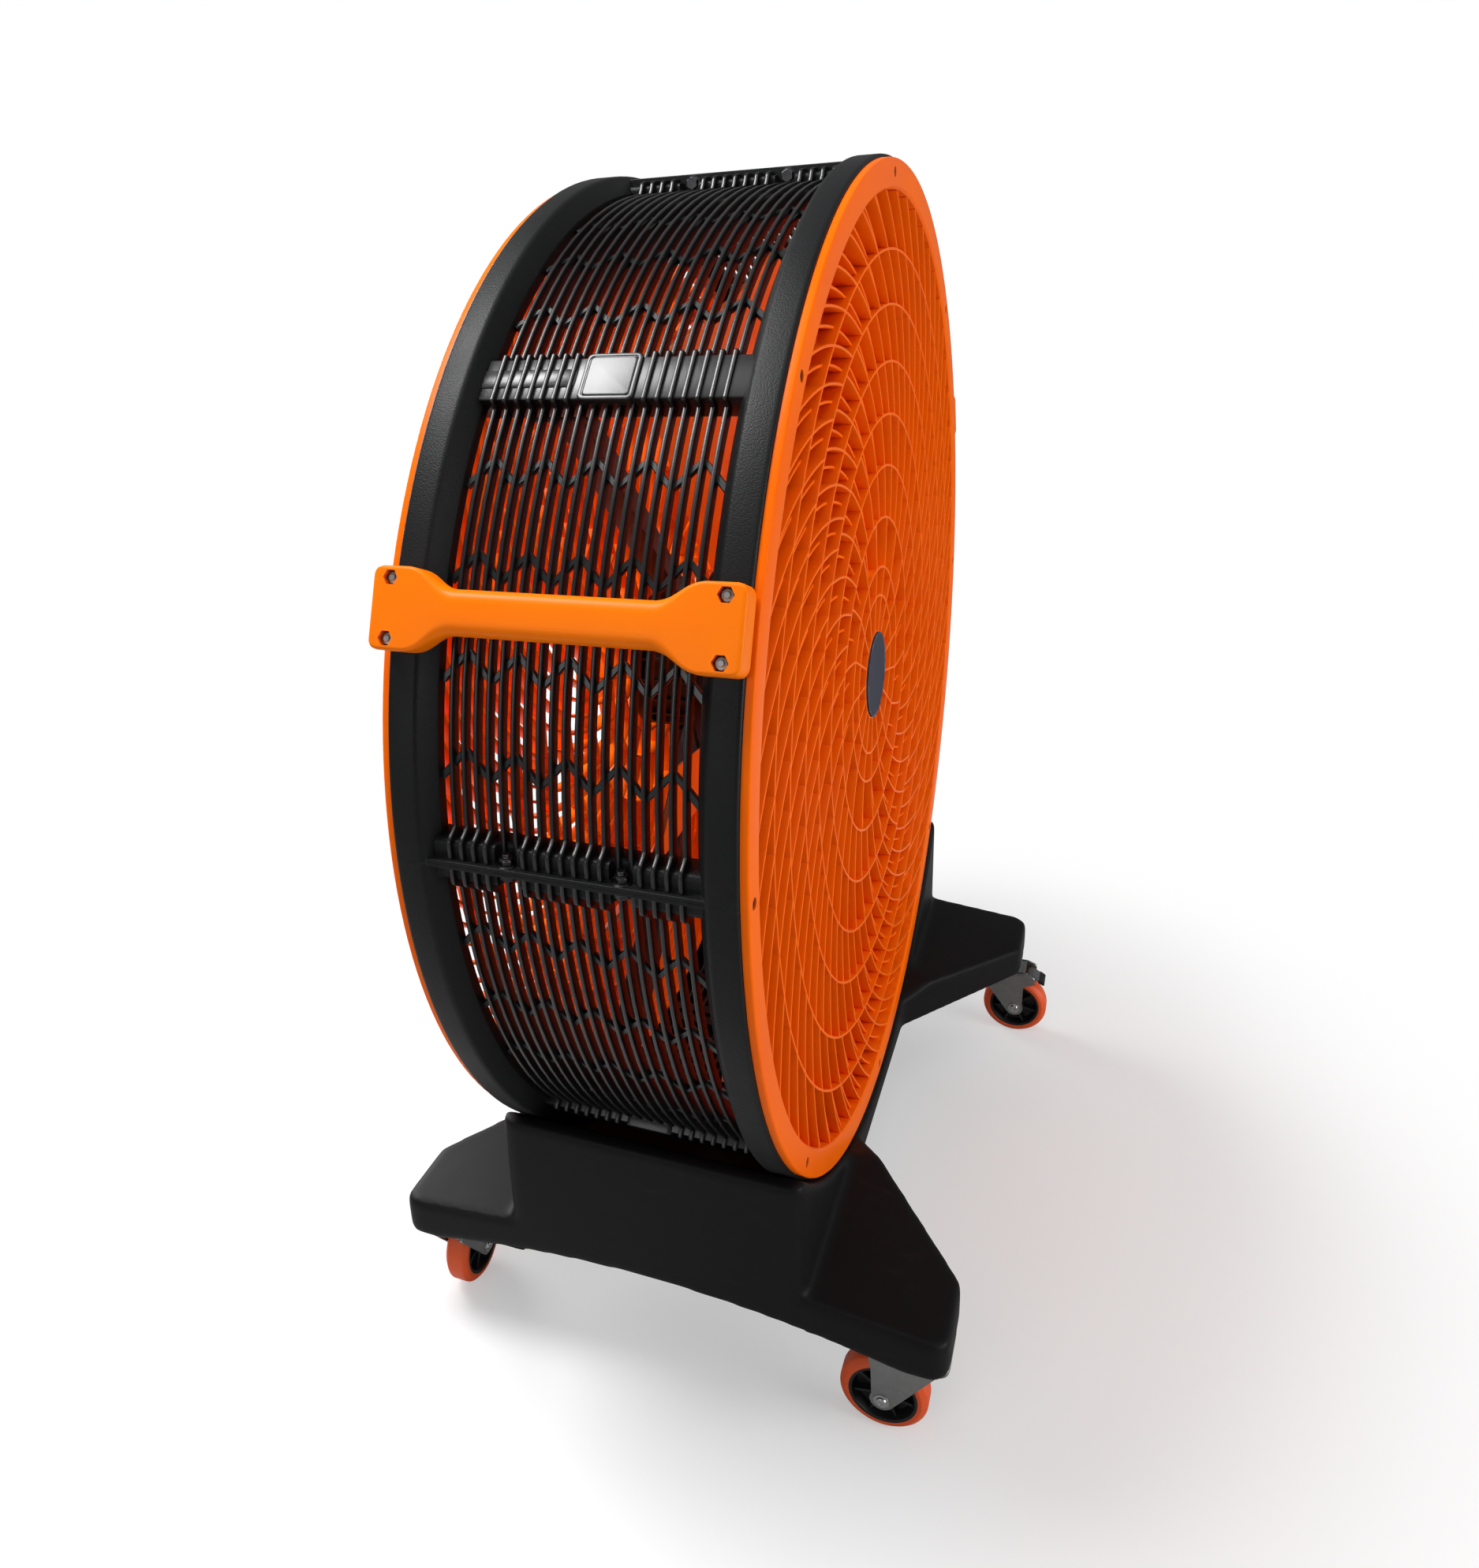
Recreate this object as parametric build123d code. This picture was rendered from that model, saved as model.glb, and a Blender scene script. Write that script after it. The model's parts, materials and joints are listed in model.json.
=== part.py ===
from build123d import *
import math
import os

os.makedirs("parts", exist_ok=True)

# A wheeled drum fan. X runs to the right seen from the front, the air leaves towards -Y,
# and Z is up from the floor. The origin is on the floor below the middle of the drum.
# All sizes are in millimetres.

# Drum and its axis
cradle_floor = 27.7
drum_depth = 350.0
rim_radius = 604.0
rim_land = 29.0
rim_skin = 8.0
step_run = 12.4
step_drop = 21.0
rib_height = 9.0
rib_thickness = 4.4
rib_pitch = 25.12
rib_count = 10
rib_chords = 3
sector_angle = 90.0
seam_gap = 0.3

# Radial flange where two sectors meet
flange_drop = 4.0
flange_plate = 4.0
flange_block_height = 23.0
flange_block_width = 15.0
flange_bolt_inset = 10.0
flange_bolt_depth = 56.5
flange_bolt = 6.0

# Crossbar in the middle of each sector, with a raised plate on its face
bar_height = 47.0
bar_drop = 16.0
bar_thickness = 28.6
plate_width = 55.0
plate_height = 52.0
plate_rise = 3.0

# Grilles
ring_drop = 4.0
ring_width = 32.0
ring_thickness = 8.0
ring_screw_inset = 15.0
ring_screw_count = 8
ring_screw_head = 9.8
ring_screw_recess = 3.3
grille_set_back = 2.6
front_grille_depth = 30.0
rear_grille_depth = 18.0
grille_wire = 3.0
grille_skirt = 4.0
front_bands = (62.0, 60.0, 64.0, 61.0, 61.0, 63.0, 61.5, 35.5, 41.0)
front_sweeps = (8.75, 8.25, 7.75, 7.25, 7.0, 6.0, 5.5, 0.0, 0.0)
rear_bands = (122.0, 125.0, 124.0, 138.0)
rear_sweeps = (17.0, 15.0, 13.0, 5.5)
grille_lead = 290.0
inner_blades = 17
doubled_bands = 3
hub_edge = 59.0
badge_radius = 54.0
badge_thickness = 3.0
badge_recess = 12.0

# Side handles
handle_angle = 22.4
handle_length = 344.0
handle_thickness = 27.7
handle_pad_length = 36.0
handle_pad_width = 75.0
handle_corner = 8.0
handle_bevel = 7.0
grip_width = 41.0
grip_length = 190.0
handle_bolt_head = 10.0
handle_bolt_height = 4.0
handle_bolt_spread = 27.0
handle_bolt_recess = 12.0
handle_recess_corner = 0.7

# Fit and seating clearances
seat_gap = 0.3
running_gap = 0.05
fixed_gap = 0.02

# Moulded base
base_lip = 18.589
base_overhang = 5.0
base_top = 345.0
base_bottom = 131.0
base_wall = 8.0
base_corner = 15.0
foot_tip = 335.0
foot_tip_width = 100.0
foot_root_width = 300.0
foot_height_root = 66.0
foot_height_tip = 50.0
foot_corner = 22.0
arch_rise = 32.0
arch_half_span = 285.0
cradle_bolt_angle = 25.0
cradle_bolt = 8.0

# Casters
caster_side_inset = 53.0
caster_tip_inset = 41.0
caster_trail = 33.0
wheel_radius = 50.0
core_radius = 39.0
tread_width = 32.0
wheel_sides = 32
hub_length = 36.0
hub_radius = 13.0
axle_radius = 5.0
axle_end_sides = 8
axle_head = 9.0
axle_head_height = 4.0
axle_nut_height = 5.0
axle_boss = 14.0
fork_plate = 4.0
fork_clearance = 1.0
fork_crown_drop = 12.0
fork_reach = 63.8
top_plate_side = 80.0
top_plate_thickness = 5.0
race_radius = 26.0
race_height = 8.0
race_sides = 12
kingpin_radius = 6.0
kingpin_nut = 11.0
kingpin_nut_height = 5.0
caster_bolt = 8.0
caster_bolt_x = 30.0
caster_bolt_y = 25.0

# Brake pedal, between the fork legs beyond the wheel
pedal_pin_radius = 2.5
pedal_pin_drop = 8.0
pedal_length = 26.0
pedal_eye = 6.0
pedal_web = 4.0
pedal_dip = 9.0

# Impeller, shaft and motor
impeller_tip_gap = 32.0
impeller_hub_radius = 78.0
impeller_hub_length = 66.0
impeller_hub_wall = 8.0
impeller_hub_front = 12.0
impeller_boss_wall = 14.0
impeller_middle = -48.0
blade_count = 6
blade_thickness = 6.0
blade_chords = (84.0, 170.0, 215.0)
blade_cambers = (7.0, 14.0, 16.0)
blade_pitches = (46.0, 34.0, 25.0)
hub_nut_height = 9.0
shaft_radius = 12.5
shaft_nose = 14.0
shaft_tail = 4.0
mount_face = 41.0
mount_plate = 6.0
mount_plate_radius = 135.0
mount_hole_radius = 36.0
strut_start_gap = 8.0
strut_depth = 30.0
strut_width = 24.0
strut_pad = 6.0
strut_pad_length = 70.0
strut_bolt = 8.0
strut_bolt_spread = 24.0
motor_radius = 80.0
motor_fin = 8.0
motor_fin_width = 3.0
motor_fin_count = 20
motor_length = 64.0
bell_length = 16.0
motor_bolt_radius = 68.0
motor_bolt = 8.0
rotor_radius = 50.0
rotor_gap = 1.0
rotor_end_gap = 6.0
bearing_radius = 26.0
bearing_width = 13.0
bearing_front_inset = 2.0
bearing_rear_inset = 1.0
bearing_sides = 24
terminal_width = 60.0
terminal_depth = 44.0
terminal_height = 36.0
terminal_set_back = 8.0
gland_hole_depth = 5.0
gland_neck = 4.0
gland_nut_height = 10.0
gland_radius = 8.0
gland_nut = 12.0
gland_bore = 5.0
gland_sides = 8

# Proportions of a hexagon head: corner radius and height against the thread
hex_corner = 0.87
hex_height = 0.65

# Sizes that follow from the ones above
half_depth = drum_depth / 2
rim_front = half_depth - ring_thickness
land_edge = rim_front - rim_land
base_half_depth = half_depth + base_overhang
step_edge = land_edge - step_run
rib_radius = rim_radius - step_drop
rib_inner = rib_radius - rib_height
flange_radius = rim_radius - flange_drop
flange_block_inner = rib_radius - flange_block_height
flange_bolt_radius = flange_radius - flange_bolt_inset
bar_face = rim_radius - bar_drop
bar_inner = bar_face - bar_thickness
bar_angle = math.degrees(math.asin(bar_height / 2 / rib_radius))
ring_outer = rim_radius - ring_drop
ring_inner = ring_outer - ring_width
ring_screw_radius = ring_outer - ring_screw_inset
impeller_radius = rib_inner - impeller_tip_gap
cradle_radius = rim_radius + seat_gap
axis_height = base_bottom + cradle_floor + cradle_radius
base_half_width = math.sqrt(cradle_radius**2 - (axis_height - base_top) ** 2) + base_lip
foot_tip_inner = base_half_width - foot_tip_width
foot_root_inner = base_half_width - foot_root_width
caster_x = base_half_width - caster_side_inset
caster_y = foot_tip - caster_tip_inset
grille_face = -half_depth + grille_set_back
fork_top = base_bottom - top_plate_thickness - race_height - seat_gap
fork_inner = hub_length / 2 + fork_clearance
fork_outer = fork_inner + fork_plate
shaft_front = impeller_middle - impeller_hub_length / 2 - shaft_nose
barrel_front = mount_face + bell_length
barrel_rear = barrel_front + motor_length
motor_rear = barrel_rear + bell_length
front_bearing_seat = mount_face + bearing_front_inset
rear_bearing_seat = barrel_rear + bearing_rear_inset
strut_middle = mount_face + strut_depth / 2
motor_outer = motor_radius + motor_fin
terminal_middle = barrel_front + terminal_depth / 2 + terminal_set_back


def polar(radius, angle):
    """Point seen from the front, with the angle counter-clockwise from +X."""
    turn = math.radians(angle)
    return (radius * math.cos(turn), radius * math.sin(turn))


def beside(angle, radius, offset):
    """Point on the radius at an angle, moved counter-clockwise by an offset."""
    turn = math.radians(angle)
    across = radius * math.cos(turn) - offset * math.sin(turn)
    up = radius * math.sin(turn) + offset * math.cos(turn)
    return (across, up)


def face(points):
    return make_face(Polyline(*points, close=True))


def slab_plane(depth):
    return Plane(origin=(0, depth, 0), x_dir=(1, 0, 0), z_dir=(0, -1, 0))


def slab(sketch, near, far):
    """A shape drawn as seen from the front, from depth near to depth far."""
    return extrude(slab_plane(near) * sketch, amount=near - far)


def turned(shape, angle):
    """Turn about the fan axis, counter-clockwise seen from the front."""
    return Rot(0, -angle, 0) * shape


def about_face(shape):
    """Turn from the front of the drum to its rear."""
    return Rot(0, 0, 180) * shape


def lifted(shape):
    return Pos(0, 0, axis_height) * shape


def outline_of(radius, sides):
    return RegularPolygon(radius, sides) if sides else Circle(radius)


def rod_y(radius, near, far, sides=0):
    """Round or many-sided rod along the fan axis direction."""
    return slab(outline_of(radius, sides), near, far)


def rod_x(radius, near, far, sides=0):
    """Round or many-sided rod along +X from near to far."""
    return extrude(Plane.YZ.offset(near) * outline_of(radius, sides), amount=far - near)


def rod_z(radius, low, high, sides=0):
    return extrude(Plane.XY.offset(low) * outline_of(radius, sides), amount=high - low)


def save(shape, name):
    shape.label = name
    export_step(shape, "parts/" + name + ".step")


def save_group(solids, name):
    save(Compound(label=name, children=list(solids)), name)


def rib_depths():
    return [(index - (rib_count - 1) / 2) * rib_pitch for index in range(rib_count)]


def rib_bay(side):
    """Outline of a rib between the crossbar and one flange, side -1 or +1."""
    edge = side * sector_angle / 2
    end_angle = edge - side * math.degrees(flange_block_width / 2 / rib_radius)
    run = end_angle - side * bar_angle * 0.8
    angles = [end_angle - run * step / rib_chords for step in range(rib_chords + 1)]
    outer = [polar(rib_radius, angle) for angle in angles]
    inner = [polar(rib_inner, angle) for angle in reversed(angles)]
    return face(outer + inner)


def flange(side):
    """Flange plate and its inner block at one end of a sector, side -1 or +1."""
    edge = side * sector_angle / 2
    gap = -side * seam_gap / 2
    plate = -side * flange_plate
    block = -side * flange_block_width
    corners = [
        beside(edge, flange_block_inner, gap),
        beside(edge, flange_radius, gap),
        beside(edge, flange_radius, plate),
        beside(edge, rib_radius, plate),
        beside(edge, rib_radius, block),
        beside(edge, flange_block_inner, block),
    ]
    return slab(face(corners), -land_edge, land_edge)


def rim():
    """Front rim of a sector: web behind the ring, land, and the step down to the ribs."""
    skin_front = -rim_front + rim_skin
    outline = [
        (rib_inner, -rim_front),
        (rim_radius, -rim_front),
        (rim_radius, -land_edge),
        (rib_radius, -step_edge),
        (rib_radius - rim_skin, -step_edge),
        (rim_radius - rim_skin, skin_front),
        (rib_inner, skin_front),
    ]
    arc = sector_angle - math.degrees(seam_gap / ring_outer)
    return turned(revolve(Plane.XY * face(outline), axis=Axis.Y, revolution_arc=arc), arc / 2)


def crossbar():
    width = bar_face - bar_inner
    bar = Pos(bar_inner + width / 2, 0, 0) * Box(width, 2 * land_edge, bar_height)
    return bar + Pos(bar_face, 0, 0) * Box(2 * plate_rise, plate_width, plate_height)


def drum_sector():
    """One of the four equal mouldings, centred on the +X direction."""
    front = rim()
    pieces = [front, mirror(front, about=Plane.XZ), flange(-1), flange(1), crossbar()]
    for depth in rib_depths():
        for side in (-1, 1):
            pieces.append(slab(rib_bay(side), depth - rib_thickness / 2, depth + rib_thickness / 2))
    return Part() + pieces


def opening(outer, inner, middle, step, sweep):
    """Corners of one gap between two circles and two swept blades."""
    run = outer - inner
    lean = math.atan2(math.radians(sweep) * (outer + inner) / 2, run)
    half = grille_wire / 2 / math.cos(lean)
    corners = []
    for radius, side in ((outer, -1), (outer, 1), (inner, 1), (inner, -1)):
        share = (outer - radius) / run
        edge = math.degrees(half / radius)
        corners.append(polar(radius, middle - sweep * share + side * (step / 2 - edge)))
    return corners


def ring_screw_places():
    return [polar(ring_screw_radius, index * 360.0 / ring_screw_count) for index in range(ring_screw_count)]


def band_edges(bands):
    """Radii from the ring to the hub, with the widths of the bands in proportion."""
    fit = (ring_inner - hub_edge) / sum(bands)
    edges = [ring_inner]
    for width in bands:
        edges.append(edges[-1] - width * fit)
    return edges


def grille(bands, sweeps, depth, doubled):
    """Ring with a field of circles and swept blades, twice as many in the doubled outer bands."""
    edges = band_edges(bands)
    gaps = []
    angle = grille_lead
    for band, sweep in enumerate(sweeps):
        outer = edges[band] - (grille_wire / 2 if band else 0)
        inner = edges[band + 1] + (grille_wire / 2 if band + 1 < len(sweeps) else 0)
        count = inner_blades * (2 if band < doubled else 1)
        step = 360.0 / count
        for index in range(count):
            gaps.append(face(opening(outer, inner, angle + (index + 0.5) * step, step, sweep)))
        angle -= sweep
    field = RegularPolygon(ring_inner + grille_skirt, 2 * inner_blades) - gaps
    mesh = slab(field, grille_face, grille_face + depth)
    ring = slab(Circle(ring_outer) - Circle(ring_inner), -half_depth, -rim_front)
    recesses = [rod_y(badge_radius + seat_gap, -half_depth, grille_face + badge_recess)]
    for x, z in ring_screw_places():
        recess = rod_y(ring_screw_head / 2 + seat_gap, -half_depth, -half_depth + ring_screw_recess, 6)
        recesses.append(Pos(x, 0, z) * recess)
    return (mesh + ring) - recesses


def ring_screws():
    """Heads of the screws sunk in one grille ring."""
    near = -half_depth + seat_gap
    far = -half_depth + ring_screw_recess
    return [Pos(x, 0, z) * rod_y(ring_screw_head / 2, near, far, 6) for x, z in ring_screw_places()]


def hub_badge():
    back = grille_face + badge_recess
    return rod_y(badge_radius, back - badge_thickness, back)


def handle_bolt_places():
    """Centres of one handle's bolts, as depth and sideways offset."""
    depth = (handle_length - handle_pad_length) / 2
    return [(y, t) for y in (-depth, depth) for t in (-handle_bolt_spread, handle_bolt_spread)]


def handle():
    """Bolted grip bar with flared pads, lying on the +X side of the drum."""
    pad = handle_pad_width / 2
    end = handle_length / 2
    half = [
        (-end, handle_corner - pad),
        (handle_corner - end, -pad),
        (handle_pad_length - end, -pad),
        (-grip_length / 2, -grip_width / 2),
    ]
    low = half + [(-y, t) for y, t in reversed(half)]
    outline = face(low + [(y, -t) for y, t in reversed(low)])
    blank = extrude(Plane.YZ.offset(rib_radius) * outline, amount=cradle_radius + handle_thickness - rib_radius)
    blank -= rod_y(cradle_radius, -half_depth, half_depth)
    blank = chamfer(blank.faces().sort_by(Axis.X)[-1].edges(), handle_bevel)
    top = cradle_radius + handle_thickness
    for depth, offset in handle_bolt_places():
        recess = rod_x(handle_recess_corner * handle_bolt_head, top - handle_bolt_recess, top + 1, 6)
        blank -= Pos(0, depth, offset) * recess
    return blank


def handle_bolts(angle):
    """Hexagon heads in the recesses of one handle."""
    seat = cradle_radius + handle_thickness - handle_bolt_recess
    head = rod_x(handle_bolt_head / math.sqrt(3), seat, seat + handle_bolt_height, 6)
    return [turned(Pos(0, depth, offset) * head, angle) for depth, offset in handle_bolt_places()]


def flange_hardware(side):
    """Bolt heads (side 1) or nuts (side -1) along the four seams."""
    seat = flange_plate
    height = hex_height * flange_bolt
    low = seat if side > 0 else -seat - height
    solid = rod_z(hex_corner * flange_bolt, low, low + height, 6)
    solids = []
    for seam in range(4):
        for depth in (-flange_bolt_depth, flange_bolt_depth):
            placed = Pos(flange_bolt_radius, depth, 0) * solid
            solids.append(lifted(turned(placed, seam * sector_angle)))
    return solids


def base_section(inset):
    """Front outline of the base: flat sides and foot, and the cradle arc on top."""
    side = base_half_width - inset
    top = base_top - inset
    radius = cradle_radius + inset
    bottom = base_bottom - (1 if inset else 0)
    lip = math.sqrt(radius**2 - (axis_height - top) ** 2)
    corners = [(-lip, top), (-side, top), (-side, bottom), (side, bottom), (side, top), (lip, top)]
    arc = ThreePointArc((lip, top), (0, axis_height - radius), (-lip, top))
    return make_face([Polyline(*corners), arc])


def foot_plan(inset):
    """Plan of one foot, tapering from the body to its tip."""
    root = base_half_depth - 2 * base_wall
    lead = (base_half_depth - root) * (foot_tip_inner - foot_root_inner) / (foot_tip - base_half_depth)
    return face([
        (base_half_width - inset, root),
        (base_half_width - inset, foot_tip - inset),
        (foot_tip_inner + inset / 2, foot_tip - inset),
        (foot_root_inner - lead + 1.3 * inset, root),
    ])


def foot_side(inset):
    """Side outline of one foot with its gently falling shelf."""
    root = base_half_depth - 2 * base_wall
    slope = (foot_height_root - foot_height_tip) / (foot_tip - base_half_depth)
    low = base_bottom + inset
    high = base_bottom - inset
    return [
        (root, low),
        (foot_tip + 1, low),
        (foot_tip + 1, high + foot_height_tip),
        (root, high + foot_height_root + slope * 2 * base_wall),
    ]


def foot(inset):
    plan = foot_plan(inset)
    if not inset:
        tips = [corner for corner in plan.vertices() if corner.Y > base_half_depth]
        plan = fillet(tips, foot_corner)
    side = extrude(Plane.YZ * face(foot_side(inset)), amount=base_half_width + 10)
    saddle = lifted(rod_y(cradle_radius + inset, 0, foot_tip + 10))
    return (extrude(Plane.XY * plan, amount=base_top) & side) - saddle


def four_ways(shape):
    right = [shape, mirror(shape, about=Plane.XZ)]
    return right + [mirror(item, about=Plane.YZ) for item in right]


def base():
    """One-piece moulded base: cradle body, four splayed feet, open underneath."""
    plan = extrude(RectangleRounded(2 * base_half_width, 2 * base_half_depth, base_corner), amount=base_top)
    body = slab(base_section(0), -base_half_depth, base_half_depth) & plan
    shell = Part() + [body, *four_ways(foot(0))]
    inner_depth = base_half_depth - base_wall
    cavity = slab(base_section(base_wall), -inner_depth, inner_depth)
    shell = shell - cavity - four_ways(foot(base_wall))
    arch_radius = (arch_half_span**2 + arch_rise**2) / (2 * arch_rise)
    arch = rod_x(arch_radius, base_half_width - 2 * base_wall, base_half_width + 1)
    arch = Pos(0, 0, base_bottom + arch_rise - arch_radius) * arch
    return shell - arch - mirror(arch, about=Plane.YZ)


def cradle_bolts():
    """Bolt heads inside the base, under the drum rims."""
    low = cradle_radius + base_wall
    depth = land_edge + rim_land / 2
    head = rod_x(hex_corner * cradle_bolt, low, low + hex_height * cradle_bolt, 6)
    bolts = []
    for angle in (270 - cradle_bolt_angle, 270 + cradle_bolt_angle):
        for side in (-1, 1):
            bolts.append(lifted(turned(Pos(0, side * depth, 0) * head, angle)))
    return bolts


def caster_places():
    return [(x, y) for x in (-caster_x, caster_x) for y in (-caster_y, caster_y)]


def caster_plate():
    """Top plate with its ball race and kingpin, at the swivel axis."""
    under = base_bottom - top_plate_thickness
    plate = extrude(Plane.XY.offset(under) * Rectangle(top_plate_side, top_plate_side), amount=top_plate_thickness)
    pin_low = fork_top - fork_plate - seat_gap
    race = rod_z(race_radius, under - race_height, under, race_sides)
    pin = rod_z(kingpin_radius, pin_low, under - race_height)
    nut = rod_z(kingpin_nut, pin_low - kingpin_nut_height, pin_low, 6)
    return plate + race + pin + nut


def fork_side():
    """Outline of a fork leg: wide at the crown, tapering to the axle, trailing along +Y."""
    return face([
        (-race_radius, fork_top),
        (-race_radius, fork_top - fork_crown_drop),
        (caster_trail - 0.8 * axle_boss, wheel_radius - 0.6 * axle_boss),
        (caster_trail + 0.5 * axle_boss, wheel_radius - 0.85 * axle_boss),
        (caster_trail + axle_boss, wheel_radius + 0.2 * axle_boss),
        (caster_trail + axle_boss, fork_top - 1.5 * fork_crown_drop),
        (fork_reach, fork_top - 0.75 * fork_crown_drop),
        (fork_reach, fork_top),
    ])


def caster_fork():
    outline = Plane.YZ * fork_side()
    legs = [Pos(near, 0, 0) * extrude(outline, amount=fork_plate) for near in (-fork_outer, fork_inner)]
    length = fork_reach + race_radius
    crown = Box(2 * fork_outer, length, fork_plate)
    crown = Pos(0, length / 2 - race_radius, fork_top - fork_plate / 2) * crown
    fork = Part() + [crown, *legs]
    fork -= rod_z(kingpin_radius + running_gap, fork_top - fork_plate, fork_top)
    return fork - at_axle(rod_x(axle_radius + fixed_gap, -fork_outer, fork_outer, axle_end_sides))


def at_axle(shape):
    return Pos(0, caster_trail, wheel_radius) * shape


def wheel_rod(radius, width, sides):
    return rod_x(radius, -width / 2, width / 2, sides)


def wheel_core():
    """Moulded wheel with its hub standing out at both sides."""
    solid = wheel_rod(core_radius, tread_width, wheel_sides)
    solid += wheel_rod(hub_radius, hub_length, wheel_sides // 2)
    return at_axle(solid - wheel_rod(axle_radius + running_gap, hub_length, 0))


def wheel_tread():
    solid = wheel_rod(wheel_radius, tread_width, wheel_sides) - wheel_rod(core_radius, tread_width, wheel_sides)
    return at_axle(solid)


def wheel_axle():
    """Round between the fork legs, with flats where it passes through them."""
    shank = wheel_rod(axle_radius, 2 * fork_inner, 0) + wheel_rod(axle_radius, 2 * fork_outer, axle_end_sides)
    head = rod_x(axle_head, fork_outer, fork_outer + axle_head_height, 6)
    nut = rod_x(axle_head, -fork_outer - axle_nut_height, -fork_outer, 6)
    return at_axle(shank + head + nut)


def brake_pedal():
    """Pressed lever between the fork legs, with its foot pad past the wheel."""
    y = fork_reach - pedal_pin_drop
    z = fork_top - fork_plate - pedal_pin_drop
    arm = face([
        (y - pedal_eye, z - pedal_web),
        (y - pedal_eye, z + pedal_web),
        (y + pedal_web, z + pedal_web + 1),
        (y + pedal_length, z - pedal_dip),
        (y + pedal_length - 2, z - pedal_dip - pedal_web),
        (y + pedal_eye / 2, z - pedal_web),
    ])
    lever = extrude(Plane.YZ.offset(-hub_length / 2) * arm, amount=hub_length)
    reach = fork_inner - seat_gap
    return lever + Pos(0, y, z) * rod_x(pedal_pin_radius, -reach, reach)


def caster(name, place, heading, braked):
    """One swivel caster with its trail turned to a heading from +Y."""
    here = Pos(place[0], place[1], 0)
    save(here * caster_plate(), "caster_plate_" + name)
    moving = here * Rot(0, 0, heading)
    save(moving * caster_fork(), "caster_fork_" + name)
    save(moving * wheel_core(), "caster_core_" + name)
    save(moving * wheel_tread(), "caster_tread_" + name)
    save(moving * wheel_axle(), "caster_axle_" + name)
    if braked:
        save(moving * brake_pedal(), "brake_pedal_" + name)


def caster_bolts():
    """Bolt heads under the top plates."""
    seat = base_bottom - top_plate_thickness
    head = rod_z(hex_corner * caster_bolt, seat - hex_height * caster_bolt, seat, 6)
    bolts = []
    for x, y in caster_places():
        for i in (-1, 1):
            for j in (-1, 1):
                bolts.append(Pos(x + i * caster_bolt_x, y + j * caster_bolt_y, 0) * head)
    return bolts


def blade_section(station, radius):
    """Points of a thin cambered section square to the radius, pitched from the plane of rotation."""
    camber = blade_cambers[station]
    turn = math.radians(blade_pitches[station])
    half = blade_chords[station] / 2
    edge = blade_thickness / 4
    crest = camber + blade_thickness / 2
    hollow = camber - blade_thickness / 2
    upper = [(-half, edge), (-half / 3, crest), (half / 3, crest), (half, edge)]
    lower = [(half, -edge), (half / 3, hollow), (-half / 3, hollow), (-half, -edge)]
    points = []
    for along, above in upper + lower:
        depth = impeller_middle + along * math.sin(turn) - above * math.cos(turn)
        points.append((radius, depth, along * math.cos(turn) + above * math.sin(turn)))
    return points


def blade():
    """Twisted, cambered blade skinned with flat triangles between its sections."""
    root = impeller_hub_radius - impeller_hub_wall / 2
    radii = (root, (impeller_hub_radius + impeller_radius) / 2, impeller_radius)
    sections = [blade_section(station, radius) for station, radius in enumerate(radii)]
    skin = [face(sections[0]), face(sections[-1])]
    for inner, outer in zip(sections, sections[1:]):
        for index in range(len(inner)):
            after = (index + 1) % len(inner)
            skin.append(face([inner[index], outer[index], inner[after]]))
            skin.append(face([outer[index], outer[after], inner[after]]))
    return Solid(Shell(skin))


def impeller():
    """One-piece moulded impeller: hub drum with twisted, cambered blades."""
    near = impeller_middle - impeller_hub_length / 2
    far = near + impeller_hub_length
    floor = near + impeller_hub_front
    hub = rod_y(impeller_hub_radius, near, far) - rod_y(shaft_radius + fixed_gap, near, far)
    hollow = rod_y(impeller_hub_radius - impeller_hub_wall, floor, far, blade_count * 4)
    hub -= hollow - rod_y(shaft_radius + impeller_boss_wall, floor, far, blade_count * 2)
    blades = [turned(blade(), index * 360.0 / blade_count) for index in range(blade_count)]
    return Part() + [hub, *blades]


def hub_nut():
    near = impeller_middle - impeller_hub_length / 2
    nut = rod_y(shaft_radius * 1.7, near - hub_nut_height, near, 6)
    return nut - rod_y(shaft_radius + fixed_gap, near - hub_nut_height, near)


def rotor():
    near = barrel_front + rotor_end_gap
    far = barrel_rear - rotor_end_gap
    return rod_y(rotor_radius, near, far, bearing_sides) - rod_y(shaft_radius + fixed_gap, near, far)


def mount():
    """Round motor plate carried by the four struts."""
    near = mount_face - mount_plate
    plate = rod_y(mount_plate_radius, near, mount_face)
    return plate - rod_y(mount_hole_radius, near, mount_face, bearing_sides)


def motor_bolts():
    """Bolt heads on the front of the motor plate."""
    near = mount_face - mount_plate
    head = rod_y(hex_corner * motor_bolt, near - hex_height * motor_bolt, near, 6)
    bolts = []
    for index in range(4):
        x, z = polar(motor_bolt_radius, 90 * index)
        bolts.append(lifted(Pos(x, 0, z) * head))
    return bolts


def strut():
    """Radial arm with a bolted pad under the crossbar, along +X."""
    start = motor_outer + strut_start_gap
    end = bar_inner - strut_pad
    arm = Pos((start + end) / 2, strut_middle, 0) * Box(end - start, strut_depth, strut_width)
    pad = Pos(end + strut_pad / 2, strut_middle, 0) * Box(strut_pad, strut_pad_length, bar_height)
    return arm + pad


def strut_bolts():
    """Bolt heads on the strut pads."""
    seat = bar_inner - strut_pad
    head = rod_x(hex_corner * strut_bolt, seat - hex_height * strut_bolt, seat, 6)
    bolts = []
    for index in range(4):
        for side in (-1, 1):
            placed = Pos(0, strut_middle + side * strut_bolt_spread, 0) * head
            bolts.append(lifted(turned(placed, 45 + 90 * index)))
    return bolts


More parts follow.
